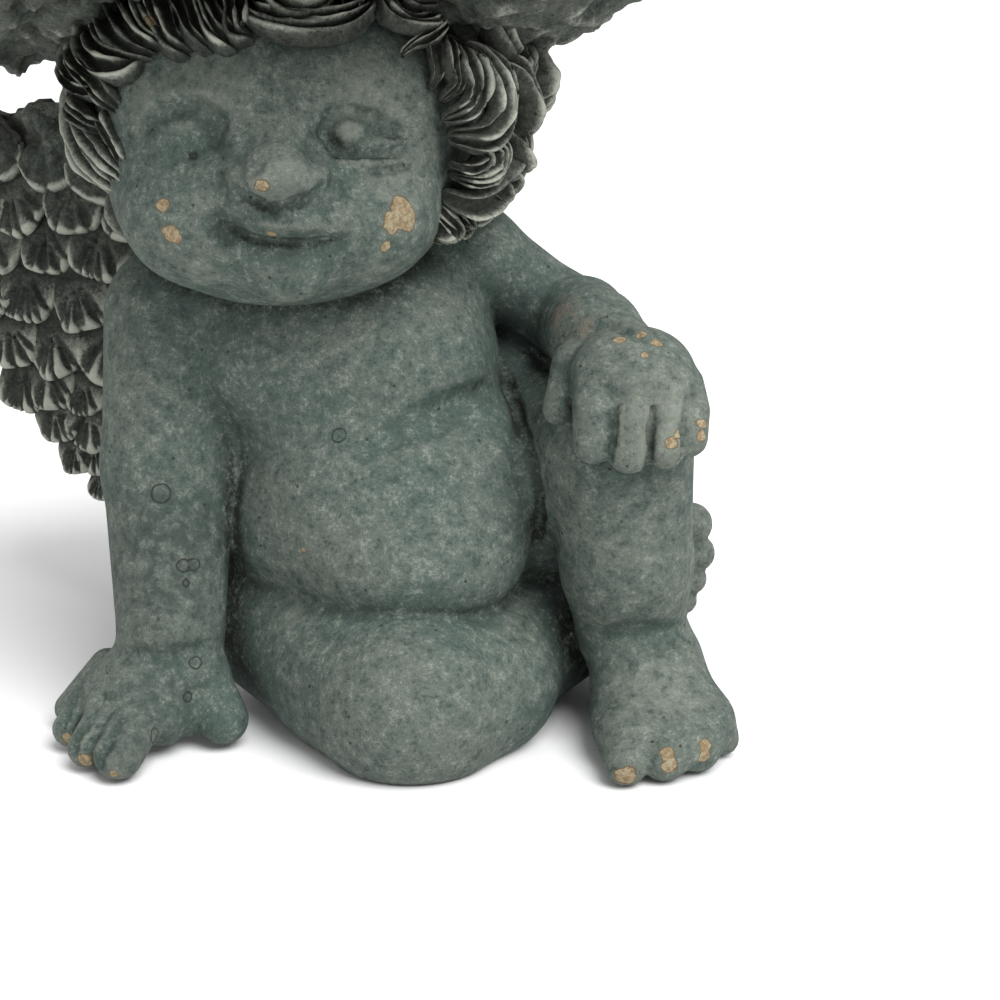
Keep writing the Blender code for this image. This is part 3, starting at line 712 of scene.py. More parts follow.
def gather(parts):
    """Joins [(points, quads, marks)] into one set."""
    points, quads, marks, first = [], [], {}, 0
    for p, q, m in parts:
        points.append(p)
        quads.append(outward(p, q) + first)
        for key, value in m.items():
            marks.setdefault(key, []).append(value)
        first += len(p)
    return np.concatenate(points), np.concatenate(quads), {k: np.concatenate(v) for k, v in marks.items()}


# %% Curves and noise
def spline(points, count):
    """Catmull-Rom curve through rows of numbers, sampled evenly in parameter."""
    p = np.array(points, float)
    p = np.vstack([2 * p[0] - p[1], p, 2 * p[-1] - p[-2]])
    place = np.linspace(0, len(p) - 3 - 1e-9, count)
    i = place.astype(int)
    t = (place - i)[:, None]
    a, b, c, d = p[i], p[i + 1], p[i + 2], p[i + 3]
    square, cube = 2 * a - 5 * b + 4 * c - d, 3 * b - 3 * c + d - a
    return 0.5 * (2 * b + (c - a) * t + square * t ** 2 + cube * t ** 3)


def unit(v):
    """The vectors at length 1."""
    return v / np.maximum(np.linalg.norm(v, axis=-1, keepdims=True), 1e-9)


def value_noise(points, scale, seed):
    """Smooth noise between -1 and 1: random values on a lattice of `scale` mm, blended with an
    S-curve."""
    table = np.random.default_rng(seed).uniform(-1, 1, (64, 64, 64))
    q = points / scale + 1000
    i = np.floor(q).astype(int)
    f = q - i
    f = f * f * (3 - 2 * f)
    total = 0
    for corner in np.ndindex(2, 2, 2):
        share = np.prod(np.where(corner, f, 1 - f), axis=-1)
        at = (i + corner) % 64
        total = total + share * table[at[..., 0], at[..., 1], at[..., 2]]
    return total


# %% [markdown]
# ## The hair
# The locks are bands gouged with a round tool: one to three hollow channels between narrow
# crests, curling in on themselves. A lock is a flat section carried along a curve on a cap over
# the skull. Its crests differ in place, width and height and wander a little along the way, as
# they do when each is cut by hand. Both ends shrink to a point and dive under the cap.

# %% Locks
CAP_CENTRE, CAP_RADII = np.array([-36.0, 0, 210]), np.array([75.0, 64, 54])
CAP_TAPER = 0.0022                    # how much wider the cap gets per mm of height
CREST_WIDTHS, CREST_CHANCES, CREST_REACH = [0.12, 0.15, 0.24], [0.45, 0.35, 0.20], 0.74
ROOT_SINK, TIP_SINK = 5, 4.0          # mm that the two ends of a lock dive
LOCK_TIP, UNDER_COLUMNS = 0.02, 8


def on_cap(turn, rise):
    """Point and outward normal at angles (degrees) on the cap's ellipsoid."""
    a, e = np.radians(turn), np.radians(rise)
    direction = np.stack([np.sin(a) * np.cos(e), -np.cos(a) * np.cos(e), np.sin(e)], -1)
    offset = direction * CAP_RADII
    offset[..., 0] *= 1 + CAP_TAPER * offset[..., 2]
    return CAP_CENTRE + offset, unit(direction / CAP_RADII)


# %% One lock
def lock(path, width, depth, crests, seed, rows=44, across_count=32):
    """Band along (turn, rise, lift) points. Across it x runs from -1 to 1, and the top stands at
    depth * (0.25 sqrt(1 - x^2) + 0.75 c), where c is the highest of the crests
    h exp(-((x - place - wander) / w)^2); the under side is a shallow bow and the ends dive."""
    chance = np.random.default_rng(seed)
    curve = spline(path, rows)
    centre, out = on_cap(curve[:, 0], curve[:, 1])
    s = np.linspace(0, 1, rows)
    along = unit(np.gradient(centre, axis=0))
    across = unit(np.cross(along, out))
    swell = np.sin(np.pi * np.clip(0.08 + 0.87 * s, 0, 1)) ** 0.5 * (1 + 0.10 * np.sin(s * 9 + seed))
    swell[[0, -1]] = LOCK_TIP
    arch = np.sin(np.pi * s) ** 0.8
    x = np.concatenate([np.linspace(-1, 1, across_count), np.linspace(1, -1, UNDER_COLUMNS)[1:-1]])
    top = np.arange(len(x)) < across_count
    bow = np.sqrt(np.maximum(1 - x ** 2, 0))
    crest = np.zeros((rows, len(x)))
    for place in np.linspace(-CREST_REACH, CREST_REACH, crests):
        shift, pace, phase = chance.uniform(-0.12, 0.12), chance.uniform(3, 7), chance.uniform(0, 6)
        wander = place + shift + 0.10 * np.sin(s * pace + phase)
        wide = chance.choice(CREST_WIDTHS, p=CREST_CHANCES)
        tall = chance.uniform(0.65, 1.0) * (1 + 0.16 * np.sin(s * 11 + chance.uniform(0, 6)))
        crest = np.maximum(crest, tall[:, None] * np.exp(-((x - wander[:, None]) / wide) ** 2))
    crest = crest * np.where(top, np.minimum(bow * 2.5, 1), 0)
    rise = np.where(top, 0.25 * bow + 0.75 * crest, -0.6 * bow)
    sink = ROOT_SINK * np.clip(1 - s * 4, 0, 1) ** 2 + TIP_SINK * np.clip(s * 4 - 3, 0, 1) ** 2
    height = depth * (swell[:, None] * rise + 0.25 * arch[:, None] - 0.10) + curve[:, 2:] - sink[:, None]
    half = 0.5 * width * swell[:, None] * x
    points = centre[:, None] + across[:, None] * half[..., None] + out[:, None] * height[..., None]
    edge = np.where(top, 1 - np.minimum(bow * 2.2, 1), 1.0)
    # The valley mark darkens the channels, the sides and the under side of the lock, as painted shade with
    # dirt.
    return (points.reshape(-1, 3), tube_quads(rows, len(x)),
            {"relief": (crest * np.clip((1 - s) * 6, 0.2, 1)[:, None]).ravel(),
             "valley_shade_and_dirt": np.clip(1 - 1.25 * crest + 0.3 * edge, 0, 1).ravel()})


# %% Gaps between locks
def crowding(points, normals, cell=1.8, room=12, steps=(2.5, 4.5)):
    """Share of the cells a little way out along the normal that the same surface fills: 0 on a
    free crest, toward 1 in the bottom of a gap."""
    low = points.min(0) - room
    size = ((points.max(0) + room - low) / cell).astype(int) + 1
    filled = np.zeros(size, np.float32)
    filled[tuple(((points - low) / cell).astype(int).T)] = 1
    for axis in range(3):
        filled = (np.roll(filled, 1, axis) + filled + np.roll(filled, -1, axis)) / 3
    found = [filled[tuple(((points + normals * step - low) / cell).astype(int).T)] for step in steps]
    return np.clip(np.mean(found, 0) * 2.2, 0, 1)


# %% [markdown]
# The angles of a path turn toward the figure's left from the brow and rise from the ear line;
# the third number lifts the lock off the cap, in millimetres. The front locks are placed one by
# one, because they frame the face: many of these angles were worked out by a separate helper
# and then moved by eye, so they are data and not a formula. Staggered rows fill the back.

# %% Front locks
LOCKS = [  # path, width, depth, crests
    ([(-94, 48, 0), (-99, 37, 0), (-96, 27, 0), (-86, 21, 0)], 13, 7, 3),
    ([(-88, 43, 1), (-85, 33, 1), (-82, 25, 1), (-73, 19, 1), (-57, 16, 1), (-46, 18, 1)], 11, 8, 3),
    ([(-88, 46, 1), (-80, 37, 1), (-65, 29, 1), (-52, 24, 1), (-43, 24, 1), (-41, 29, 1)], 13, 8, 3),
    ([(-90, 50, 2), (-73, 44, 2), (-56, 37, 2), (-43, 31, 1), (-35, 30, 1)], 13, 8, 3),
    ([(-90, 56, 2), (-68, 50, 2), (-50, 43, 2), (-40, 36, 1), (-33, 34, 1)], 12, 8, 3),
    ([(-84, 60, 2), (-54, 51, 1), (-39, 42, 1), (-31, 34, 0), (-25, 32, 0)], 13, 7, 3),
    ([(-80, 64, 2), (-45, 54, 2), (-31, 45, 2), (-24, 37, 1), (-18, 33, 0)], 12, 8, 3),
    ([(-56, 63, 1), (-33, 54, 1), (-23, 44, 1), (-17, 37, 0), (-11, 34, 0)], 12, 7, 3),
    ([(-40, 62, 2), (-22, 53, 2), (-14, 45, 2), (-12, 37, 1), (-8, 38, 1)], 9, 7, 3),
    ([(-17, 55, 2), (-10, 44, 2), (-2, 39, 2), (8, 37, 2), (18, 39, 2), (26, 45, 2), (32, 53, 2)], 10, 8, 3),
    ([(-10, 58, 3), (-3, 48, 3), (3, 43, 3), (11, 44, 3), (16, 52, 3)], 9, 9, 3),
    ([(-1, 59, 4), (4, 53, 4), (9, 52, 4), (12, 57, 4)], 8, 9, 2),
    ([(21, 40, 1), (22, 47, 1), (30, 57, 1)], 7, 7, 3),
    ([(37, 54, 2), (33, 44, 2), (37, 39, 2), (44, 38, 2), (54, 43, 2)], 8, 7, 3),
    ([(51, 57, 1), (43, 47, 1), (49, 46, 1), (64, 51, 1)], 8, 7, 3),
    ([(35, 33, 0), (40, 33, 1), (47, 36, 1), (59, 43, 1)], 6, 5, 3),
    ([(50, 43, 0), (45, 34, -0.5), (43, 25, -1), (42, 19, -1.5)], 6, 4, 2),
    ([(54, 40, 1), (49, 31, 0.5), (47, 24, 0.5), (47, 18, 0.5), (44, 14, 0.5)], 8, 6, 3),
    ([(56, 34, 1), (52, 25, 1), (52, 16, 1), (49, 10, 1), (44, 7, 1)], 9, 7, 3),
    ([(60, 34, 2), (60, 23, 2), (61, 13, 2), (60, 5, 2), (54, 0, 2), (45, 1, 2)], 13, 8, 3),
    ([(68, 26, 3), (75, 17, 3), (82, 8, 2), (84, 0, 1), (82, -6, 0)], 10, 8, 2),
    ([(86, 5, 0), (87, -6, 1), (84, -14, 1), (74, -20, 1), (60, -23, 2), (50, -22, 1)], 14, 8, 2),
    ([(60, 0, 1), (65, -5, 1), (64, -11, 1), (57, -14, 1), (50, -14, 1)], 7, 6, 3),
    ([(54, -3, 0), (58, -7, 0), (54, -10, 0), (49, -10, 0)], 5, 5, 2),
    ([(96, 48, 4), (82, 41, 3), (71, 32, 3), (74, 26, 3), (84, 25, 3)], 13, 9, 3),
    ([(102, 44, 4), (94, 35, 4), (88, 27, 3)], 11, 8, 3),
    ([(90, 29, 3), (84, 22, 3), (80, 14, 2)], 8, 7, 3),
    ([(98, 32, 4), (94, 23, 5), (91, 14, 5), (90, 7, 4), (88, 3, 1)], 14, 9, 3),
    ([(106, 33, 4), (103, 23, 6), (100, 15, 5), (98, 8, 2)], 13, 9, 2),
    ([(79, 1, 0), (83, -7, 1), (85, -14, 2), (83, -21, 1)], 10, 8, 2),
    ([(77, -12, 0), (82, -19, 1), (84, -26, 1), (81, -32, 0)], 10, 8, 2),
    ([(70, -22, 1), (79, -28, 2), (75, -34, 0)], 9, 6, 2),
    ([(60, -25, 1), (68, -31, 2), (62, -35, 1)], 8, 6, 3),
    ([(50, -27, 0), (60, -33, 1), (54, -39, 1)], 8, 6, 3),
    ([(-88, 26, -1), (-86, 15, -1), (-79, 4, -2), (-70, -6, -2), (-60, -14, -1), (-53, -24, -1)], 11, 7, 3),
    ([(-80, 22, 0), (-74, 11, 0), (-64, 2, -1), (-55, -6, -1), (-48, -14, -1), (-47, -21, -1)], 9, 6, 3),
    ([(-68, 17, 1), (-66, 9, 1), (-58, 5, 1), (-51, 3, 1)], 8, 6, 3),
    ([(-83, 28, 5), (-64, 22, 2), (-51, 16, 2), (-46, 10, 1)], 10, 7, 3),
    ([(-55, 10, 0), (-51, 3, -0.5), (-47, -4, -1), (-45, -11, -1)], 6, 4, 2),
    ([(-94, 8, -3), (-84, -4, -5), (-72, -16, -5), (-60, -26, -3)], 13, 6, 3),
    ([(-98, 40, -1), (-103, 27, -2), (-100, 14, -3), (-90, 3, -4)], 14, 8, 3),
    ([(-110, 34, -1), (-114, 18, -3), (-108, 4, -4), (-96, -8, -6)], 14, 8, 3),
    ([(-104, -2, -5), (-94, -13, -7), (-80, -22, -6), (-66, -30, -4)], 13, 6, 3),
    ([(108, 20, 1), (104, 8, 0), (99, -4, -2), (94, -14, -3)], 13, 8, 3),
    ([(102, -4, -3), (101, -14, -4), (95, -24, -4), (86, -34, -4)], 13, 8, 3),
]
print(len(LOCKS), "locks placed one by one")

# %% Back locks
BACK_ROWS = [  # rise in degrees, locks in the row, stagger
    (46, 9, 0.0), (29, 10, 0.5), (12, 10, 0.0), (-5, 10, 0.5), (-21, 9, 0.0), (-36, 8, 0.5)]
BACK_TURNS = (108, 258)               # degrees
BACK_BOW = [(-1, 16, 0), (-0.1, 9, 2), (0.5, 0, 3), (0.1, -9, 2), (-0.9, -16, 1)]   # sway share, rise, lift
BACK_SEED = 100


def back_locks():
    """Bowed locks in staggered rows round the back of the head, each a little its own way."""
    chance, found = np.random.default_rng(5), []
    for rise, count, offset in BACK_ROWS:
        for i in range(count):
            turn = BACK_TURNS[0] + (BACK_TURNS[1] - BACK_TURNS[0]) * (i + offset) / (count - 0.5)
            turn, level = turn + chance.uniform(-3, 3), rise + chance.uniform(-3, 3)
            sway = chance.uniform(4, 8) * (1 if chance.random() < 0.7 else -1)
            path = [(turn + sway * share, level + higher, lift) for share, higher, lift in BACK_BOW]
            width, depth = chance.uniform(13, 18), chance.uniform(7, 9)
            found.append((path, width, depth, int(chance.integers(3, 5))))
    return found


# %% Hair pieces
def hair_piece(name, parts):
    """One mesh of many locks; the gaps between them, darkened as painted shade with grime, are found before
    their surface is roughened.
    """
    points, quads, marks = gather(parts)
    normals = vertex_normals(points, quads)
    # Painted shade with dirt: the gaps between locks, and the hair where the head, the figure and the basin
    # close it in, are darkened.
    marks["valley_shade_and_dirt"] = np.clip(marks["valley_shade_and_dirt"] * 0.75 + crowding(points, normals) * 0.6, 0, 1)
    marks["shade_and_dirt"] = shade_and_dirt(points, normals, [shade_and_dirt_clay, head_clay], steps=(2, 4, 8, 16))
    marks["chip"] = patch_mark(points, HAIR_CHIPS)
    uneven = 0.6 * value_noise(points, 8, 22) + 0.4 * value_noise(points, 3.6, 21)
    return make_piece(name, points + normals * uneven[:, None], quads, marks)


front_locks = [lock(*spec, seed=i) for i, spec in enumerate(LOCKS)]
rear_locks = [lock(*spec, seed=BACK_SEED + i, rows=22, across_count=20)
              for i, spec in enumerate(back_locks())]
hair = [hair_piece("putto_hair_front", front_locks), hair_piece("putto_hair_back", rear_locks)]
print(len(front_locks), "locks in front,", len(rear_locks), "behind")

# %% [markdown]
# ## The wings
# Each wing is a leaf-shaped core hung with overlapping feathers like roof tiles. A feather is a
# rounded scallop whose grooves fan out from the quill and whose edge ruffles. Rows lower down
# lie under the rows above, so each tip stands a little proud of the next. The top of the wing,
# close under the basin, is left bare and rough like rock. The outline follows a separate helper's
# measures and was then set by eye.

# %% Wing measures
ROOT_HEIGHT = 138                     # mm over the ground; wing heights are counted from it
RIGHT_WING, LEFT_WING = ((-64, 36), 157), ((1, 36), 84)     # root in plan, direction in degrees
OUTLINE = np.array([  # height, inner reach, outer reach
    (-77, 56, 62), (-70, 50, 68), (-60, 42, 78), (-48, 30, 91), (-36, 19, 102), (-20, 9, 112),
    (0, 0, 119), (20, 0, 122), (40, 0, 121), (55, 3, 117), (65, 9, 108), (73, 22, 94)], float)
CORE_HALF, CORE_THINNING, CORE_TIP = 9.0, 0.45, 76          # half depth, its loss at the tip's height
CORE_SPAN, CORE_INSET = (-73, 72), 5.0
BARE_FROM, BARE_FADE = 48, 8                                # where the core shows without feathers
CRAGS_FROM, CRAGS_FADE = 50, 14
FEATHER_ROWS = [  # height, half width, half length, smoothness
    (-71, 6, 7, 0), (-60, 9, 9, 0), (-47, 10.5, 10.5, 0), (-34, 11.5, 11.5, 0), (-17, 12.5, 12.5, 0),
    (2, 14, 13.5, 0.1), (21, 14.5, 14, 0.3), (38, 14.5, 14, 0.45), (55, 15.5, 15, 0.9)]
QUILL = np.array([0, -0.65])          # where the grooves of a feather come together
FEATHER_SPACING, FEATHER_TILT = 1.65, 0.28                  # in half widths; how far a tip stands off
LEAN_INNER, LEAN_CHANGE, LEAN_CHANCE = 12, 26, 13           # degrees


# %% The core of a wing
def wing_frame(root, direction):
    """The root, and the directions outward, upward and square to the wing's middle plane."""
    a = math.radians(direction)
    out, up = np.array([math.cos(a), math.sin(a), 0]), np.array([0, 0, 1.0])
    return np.array([root[0], root[1], ROOT_HEIGHT]), out, up, np.cross(out, up)


def on_wing(base, out, up, normal, along, height, face):
    """Point at a reach outward, a height over the root and a depth off the middle plane."""
    outer = np.multiply.outer
    return base + outer(along, out) + outer(height, up) + outer(face, normal)


def core_depth(height):
    """Half the core's thickness: half * (1 - thinning * (height / tip)^2)."""
    return CORE_HALF * (1 - CORE_THINNING * np.abs(height / CORE_TIP) ** 2)


def wing_core(*placing, rows=80, columns=110):
    """Lens sections stacked up the wing, each an ellipse from the inner to the outer reach."""
    height = np.linspace(*CORE_SPAN, rows)
    inner, outer = [np.interp(height, OUTLINE[:, 0], OUTLINE[:, k]) for k in (1, 2)]
    theta = np.linspace(0, 2 * np.pi, columns, endpoint=False)
    closing = np.ones(rows)
    closing[[0, -1]] = 0.01
    half = np.maximum((outer - inner) / 2 - CORE_INSET * np.clip((60 - height) / 10, 0.2, 1), 1)
    along = ((inner + outer) / 2)[:, None] + (half * closing)[:, None] * np.cos(theta)
    face = (core_depth(height) * closing)[:, None] * np.sin(theta)
    points = on_wing(*placing, along, np.broadcast_to(height[:, None], along.shape), face)
    # Painted shade: the core is darkened where it lies under the feathers; the bare top gets the dry brush
    # instead.
    bare = np.repeat(np.clip((height - BARE_FROM) / BARE_FADE, 0, 1), columns)
    return points.reshape(-1, 3), tube_quads(rows, columns), {"relief": 0.5 * bare, "valley_shade_and_dirt": 1 - bare}


# %% A feather
def feather(centre, side, tip, facing, width, length, depth, chance, smooth, rows=12, columns=44):
    """Scallop over the unit disc (r, angle), with the columns crowded toward the tip. The top is
    depth (1 - r^6) plus a ruffle that grows as r^2 and waves round the rim. Each groove is a wedge
    on the line from near the quill to the rim, cut as exp(-(distance / w)^2) with w widest about
    half way, and it notches the rim. Smooth coverts have a raised rim in place of most grooves.
    r runs out over the top and back in underneath."""
    r = np.concatenate([np.linspace(0.001, 1, rows) ** 0.8, [0.97, 0.7, 0.001]])[:, None]
    upper = (np.arange(len(r)) < rows)[:, None]
    u = np.linspace(0, 2 * np.pi, columns, endpoint=False)
    theta = u + 0.50 * np.cos(u)
    cos, sin = np.cos(theta), np.sin(theta)
    x, y = r * np.sign(cos) * np.abs(cos) ** 0.80, r * sin
    groove = np.zeros_like(x)
    count = 3 if smooth > 0.5 else int(chance.integers(5, 8))
    for k in range(count):
        a = (k - (count - 1) / 2) * 2.0 / count + chance.uniform(-0.16, 0.16)
        end = np.array([math.sin(a) * 0.97, math.cos(a)])
        begin = QUILL + (end - QUILL) * chance.uniform(0.25, 0.55)
        run = end - begin
        t = np.clip(((x - begin[0]) * run[0] + (y - begin[1]) * run[1]) / (run @ run), 0, 1)
        gap = np.hypot(x - begin[0] - run[0] * t, y - begin[1] - run[1] * t)
        spread, skew = chance.uniform(0.03, 0.12), chance.uniform(0.8, 1.6)
        wedge = 0.035 + spread * np.sin(np.pi * np.clip(t, 0.02, 0.98) ** skew)
        groove = np.maximum(groove, chance.uniform(0.45, 1.0) * np.exp(-(gap / wedge) ** 2))
    groove = groove * (1 - 0.7 * smooth)
    rim = np.exp(-((r - 0.91) / 0.06) ** 2) * np.clip(y + 0.9, 0, 1)
    crown = depth * (1 - r ** 6) * (0.50 + 0.50 * np.clip(y * 0.5 + 0.5, 0, 1))
    ruffle = 0.30 * depth * np.sin(3.1 * theta + chance.uniform(0, 6)) * r ** 2
    z = np.where(upper, crown + ruffle - 0.62 * depth * groove + 0.38 * depth * smooth * rim, -0.30 * depth)
    shrink = 1 - (0.09 * groove + 0.04 * np.sin(5 * theta + chance.uniform(0, 6))) * r ** 4
    points = (centre + (x * shrink * width)[..., None] * side + (y * shrink * length)[..., None] * tip
              + z[..., None] * facing)
    brushed = 0.62 + 0.55 * y + 0.20 * rim - 1.6 * groove - 0.75 * smooth * (1 - rim)
    # Painted shade with dirt in the grooves and toward the root, where the row above lies over the feather.
    feather_shade_and_dirt = groove * 1.3 + np.clip(-y * 1.2 - 0.1, 0, 0.8)
    marks = {"relief": np.where(upper, np.clip(brushed, 0, 1), 0).ravel(),
             "valley_shade_and_dirt": np.where(upper, np.clip(feather_shade_and_dirt, 0, 1), 1).ravel()}
    return points.reshape(-1, 3), tube_quads(len(r), columns), marks


# %% Rows of feathers
def wing_feathers(root, direction, seed):
    """Rows of feathers from the tip up, staggered like tiles, on both faces."""
    base, out, up, normal = wing_frame(root, direction)
    chance = np.random.default_rng(seed)
    found = [wing_core(base, out, up, normal)]
    for row, (height, half, long, smooth) in enumerate(FEATHER_ROWS):
        inner, outer = [float(np.interp(height, OUTLINE[:, 0], OUTLINE[:, k])) for k in (1, 2)]
        first, last = inner + half * 0.5, outer - half * 0.9
        count = max(int(round((last - first) / (half * FEATHER_SPACING))), 1)
        for col in range(count + 1):
            shift = min(max((col + 0.5 * (row % 2) - 0.25) / count, 0), 1)
            along = first + (last - first) * shift + chance.uniform(-0.12, 0.12) * half
            level = height + chance.uniform(-0.12, 0.12) * long
            lean = LEAN_INNER - LEAN_CHANGE * shift
            lean += chance.uniform(-LEAN_CHANCE, LEAN_CHANCE) * (1 + smooth)
            size = chance.uniform(0.86, 1.14)
            for face in (-1, 1):
                middle = (2 * along - inner - outer) / (outer - inner)
                depth = core_depth(height) * math.sqrt(max(1 - abs(middle) ** 3, 0))
                off = face * (depth * 0.86 + chance.uniform(0.2, 1.2))
                centre = on_wing(base, out, up, normal, along, level, off)
                a = math.radians(lean)
                down = -up * math.cos(a) + out * math.sin(a)
                tip = unit(down + normal * face * FEATHER_TILT)
                side = unit(np.cross(tip, normal * face))
                found.append(feather(centre, side, tip, np.cross(side, tip), half * size, long * size,
                                     0.22 * half + 0.9, chance, smooth))
    return found


# %% Both wings
wings = []
for name, (root, direction), seed in (("putto_wing_right", RIGHT_WING, 3), ("putto_wing_left", LEFT_WING, 8)):
    points, quads, marks = gather(wing_feathers(root, direction, seed))
    normals = vertex_normals(points, quads)
    top = np.clip((points[:, 2] - ROOT_HEIGHT - CRAGS_FROM) / CRAGS_FADE, 0, 1)
    crags = 5.0 * value_noise(points, 9, 31) + 3.0 * value_noise(points, 4.5, 32)
    points = points + (0.35 * value_noise(points, 9, seed) + top * crags)[:, None] * normals
    # Painted shade with dirt in the gaps between feathers, less on the bare top, and where the rest of the
    # figure closes the wing in.
    gaps = 0.5 * crowding(points, normals, 2.4) - top * 0.25 * crags
    marks["valley_shade_and_dirt"] = np.clip(marks["valley_shade_and_dirt"] * 0.8 + gaps, 0, 1)
    marks["shade_and_dirt"] = shade_and_dirt(points, normals, [shade_and_dirt_clay], steps=(4, 8, 16))
    wings.append(make_piece(name, points, quads, marks))

# %% [markdown]
# ## The basin
# The basin is rockwork: a shallow bowl with a wavy lip, rough underneath with strata and pits,
# smoother inside where water stands. One closed profile runs from under the bowl, over the lip
# and back to the middle of the floor, and is carried round while its height and reach wave.

# %% Basin measures
BASIN_CENTRE = np.array([-38.0, 15])
PROFILE = [  # radius, height, and how much lower the two sides hang
    (8, 252, 0), (30, 252, 22), (46, 255, 28), (62, 258, 30), (78, 260, 28), (92, 263, 26), (103, 265, 24),
    (111, 267, 21), (117, 270, 20), (119.5, 275, 12), (121, 281, 4), (119, 286, 0), (115, 288.5, 0),
    (110, 288.5, 0), (106, 286, 0), (102, 281, 0), (100, 277, 0), (94, 273, 0), (83, 270, 0), (66, 268, 0),
    (46, 267, 0), (26, 266.5, 0), (8, 266.5, 0)]
RIM = 121                             # mm, the profile's widest radius
LOBES, LOBE_DEPTH, LOBE_PHASE, LOBE_LIFT = 7, 6, 0.6, 3.0
DROOP = 9                             # mm, how much lower the lip is at the right wing's side
ROUGH_UNTIL, ROUGH_FADE, ROUGH_INSIDE = 0.60, 0.08, 0.10    # along the profile, from 0 to 1
ROUGH_SINK = 2.8                      # mm, so that the rock stays inside the solid's box
DRIPS = [(104, 7, 7, -1), (98, 4, 3, -1), (82, 16, 5, 1), (104, 5, 2, 1)]     # radius, width, depth, side


# %% The basin's surface
def basin_surface(rows=210, columns=340):
    """Turned profile whose radius is scaled by 1 + share * lobe and whose height dips on one
    side; share grows as (radius / rim)^2. Under the lip the two sides hang lower and carry lumps
    like drips. Noise along the normal makes the rockwork."""
    radius, height, drop = spline(PROFILE, rows).T
    theta = np.linspace(0, 2 * np.pi, columns, endpoint=False)
    share = np.minimum((radius / RIM) ** 2, 1)[:, None]
    wave, side = np.cos(LOBES * theta + LOBE_PHASE)[None], np.clip(-np.cos(theta), 0, 1)[None]
    reach_out = radius[:, None] * (1 + share * LOBE_DEPTH / RIM * wave)
    reach_out[[0, -1]] *= 0.002
    under = np.clip(drop / 12, 0, 1)[:, None]
    dip = share * (LOBE_LIFT * wave - DROOP * side ** 4) - drop[:, None] * np.cos(theta) ** 4
    for place, wide, deep, way in DRIPS:
        lump = np.exp(-((radius - place) / wide) ** 2)[:, None]
        dip = dip - deep * under * lump * np.clip(way * np.cos(theta), 0, 1)[None] ** 4
    points = np.stack([BASIN_CENTRE[0] + reach_out * np.cos(theta),
                       BASIN_CENTRE[1] + reach_out * np.sin(theta), height[:, None] + dip], -1).reshape(-1, 3)
    quads = outward(points, tube_quads(rows, columns))
    normals = vertex_normals(points, quads)
    s = np.repeat(np.linspace(0, 1, rows), columns)
    rough = np.clip((ROUGH_UNTIL - s) / ROUGH_FADE, ROUGH_INSIDE, 1)
    strata = value_noise(points * [0.30, 0.30, 2.0], 7, 11)
    crags = 1 - np.abs(value_noise(points * [0.8, 0.8, 1.2], 15, 12)) * 2
    lumps = value_noise(points, 10, 16)
    pits = np.maximum(value_noise(points, 5.5, 13) - 0.25, 0)
    grit, knobs = value_noise(points, 2.8, 14), value_noise(points, 4.6, 17)
    relief = 1.6 * crags + 1.3 * strata + 1.2 * lumps - 5.0 * pits + 1.0 * grit + 1.3 * knobs
    points = points + normals * (rough * (relief - ROUGH_SINK))[:, None]
    marks = {"relief": np.clip(0.26 + rough * (0.08 * relief + 0.16 * knobs + 0.16 * grit), 0, 0.8),
             "valley_shade_and_dirt": np.clip(pits * 3.0 - 0.20 * relief - 0.2 * knobs, 0, 1) * rough}
    return points, quads, marks


# %% The basin
basin_points, basin_quads, basin_marks = basin_surface()
basin_normals = vertex_normals(basin_points, basin_quads)
under_side = basin_normals[:, 2] < 0.3                                 # only the under side is darkened, as painted shade with dirt over the head
# Painted shade with dirt on the under side of the basin, where it lies close over the head.
basin_marks["shade_and_dirt"] = under_side * shade_and_dirt(basin_points, basin_normals, [head_clay], steps=(4, 10, 20))
basin = make_piece("putto_basin", basin_points, basin_quads, basin_marks)

# %% [markdown]
# ## The finish
# The casting is painted a dull verdigris, then worn: the paint is mottled, sprinkled with pale
# and dark grains, black with dirt and painted shade in the folds and gaps, and rubbed pale on the
# ridges. Broad patches add painted highlight and shade along with rubbed and darker paint. Chips
# show the ochre body. One material does it all, reading the marks, with a darker mix for the
# relief work.

# %% Nodes
def node(tree, kind, **values):
    """A node with its plain settings; a name that begins with in_ sets an unlinked input."""
    new = tree.nodes.new(kind)
    for key, value in values.items():
        if key.startswith("in_"):
            new.inputs[key[3:]].default_value = value
        else:
            setattr(new, key, value)
    return new


def noise(tree, scale, detail, roughness):
    """Noise on Object coordinates, scale in lumps per metre."""
    new = node(tree, "ShaderNodeTexNoise", in_Scale=scale, in_Detail=detail, in_Roughness=roughness)
    tree.links.new(tree.nodes["place"].outputs["Object"], new.inputs["Vector"])
    return new.outputs["Fac"]


def mark(tree, name):
    """One of the mesh's own marks."""
    return node(tree, "ShaderNodeAttribute", attribute_name=name).outputs["Fac"]


def feed(tree, socket, value):
    """Links an output to a socket, or writes a plain value into it."""
    if isinstance(value, bpy.types.NodeSocket):
        tree.links.new(value, socket)
    else:
        socket.default_value = value


def math_node(tree, operation, *values):
    """One operation on one or two outputs or numbers."""
    new = node(tree, "ShaderNodeMath", operation=operation)
    for slot, value in enumerate(values):
        feed(tree, new.inputs[slot], value)
    return new.outputs[0]


# %% Sums, steps and layers
def times(tree, a, b):
    """The product a * b."""
    return math_node(tree, "MULTIPLY", a, b)


def weigh(tree, *terms):
    """The sum of weight * output over (output, weight) pairs."""
    parts = [output if weight == 1 else times(tree, output, weight) for output, weight in terms]
    total = parts[0]
    for part in parts[1:]:
        total = math_node(tree, "ADD", total, part)
    return total


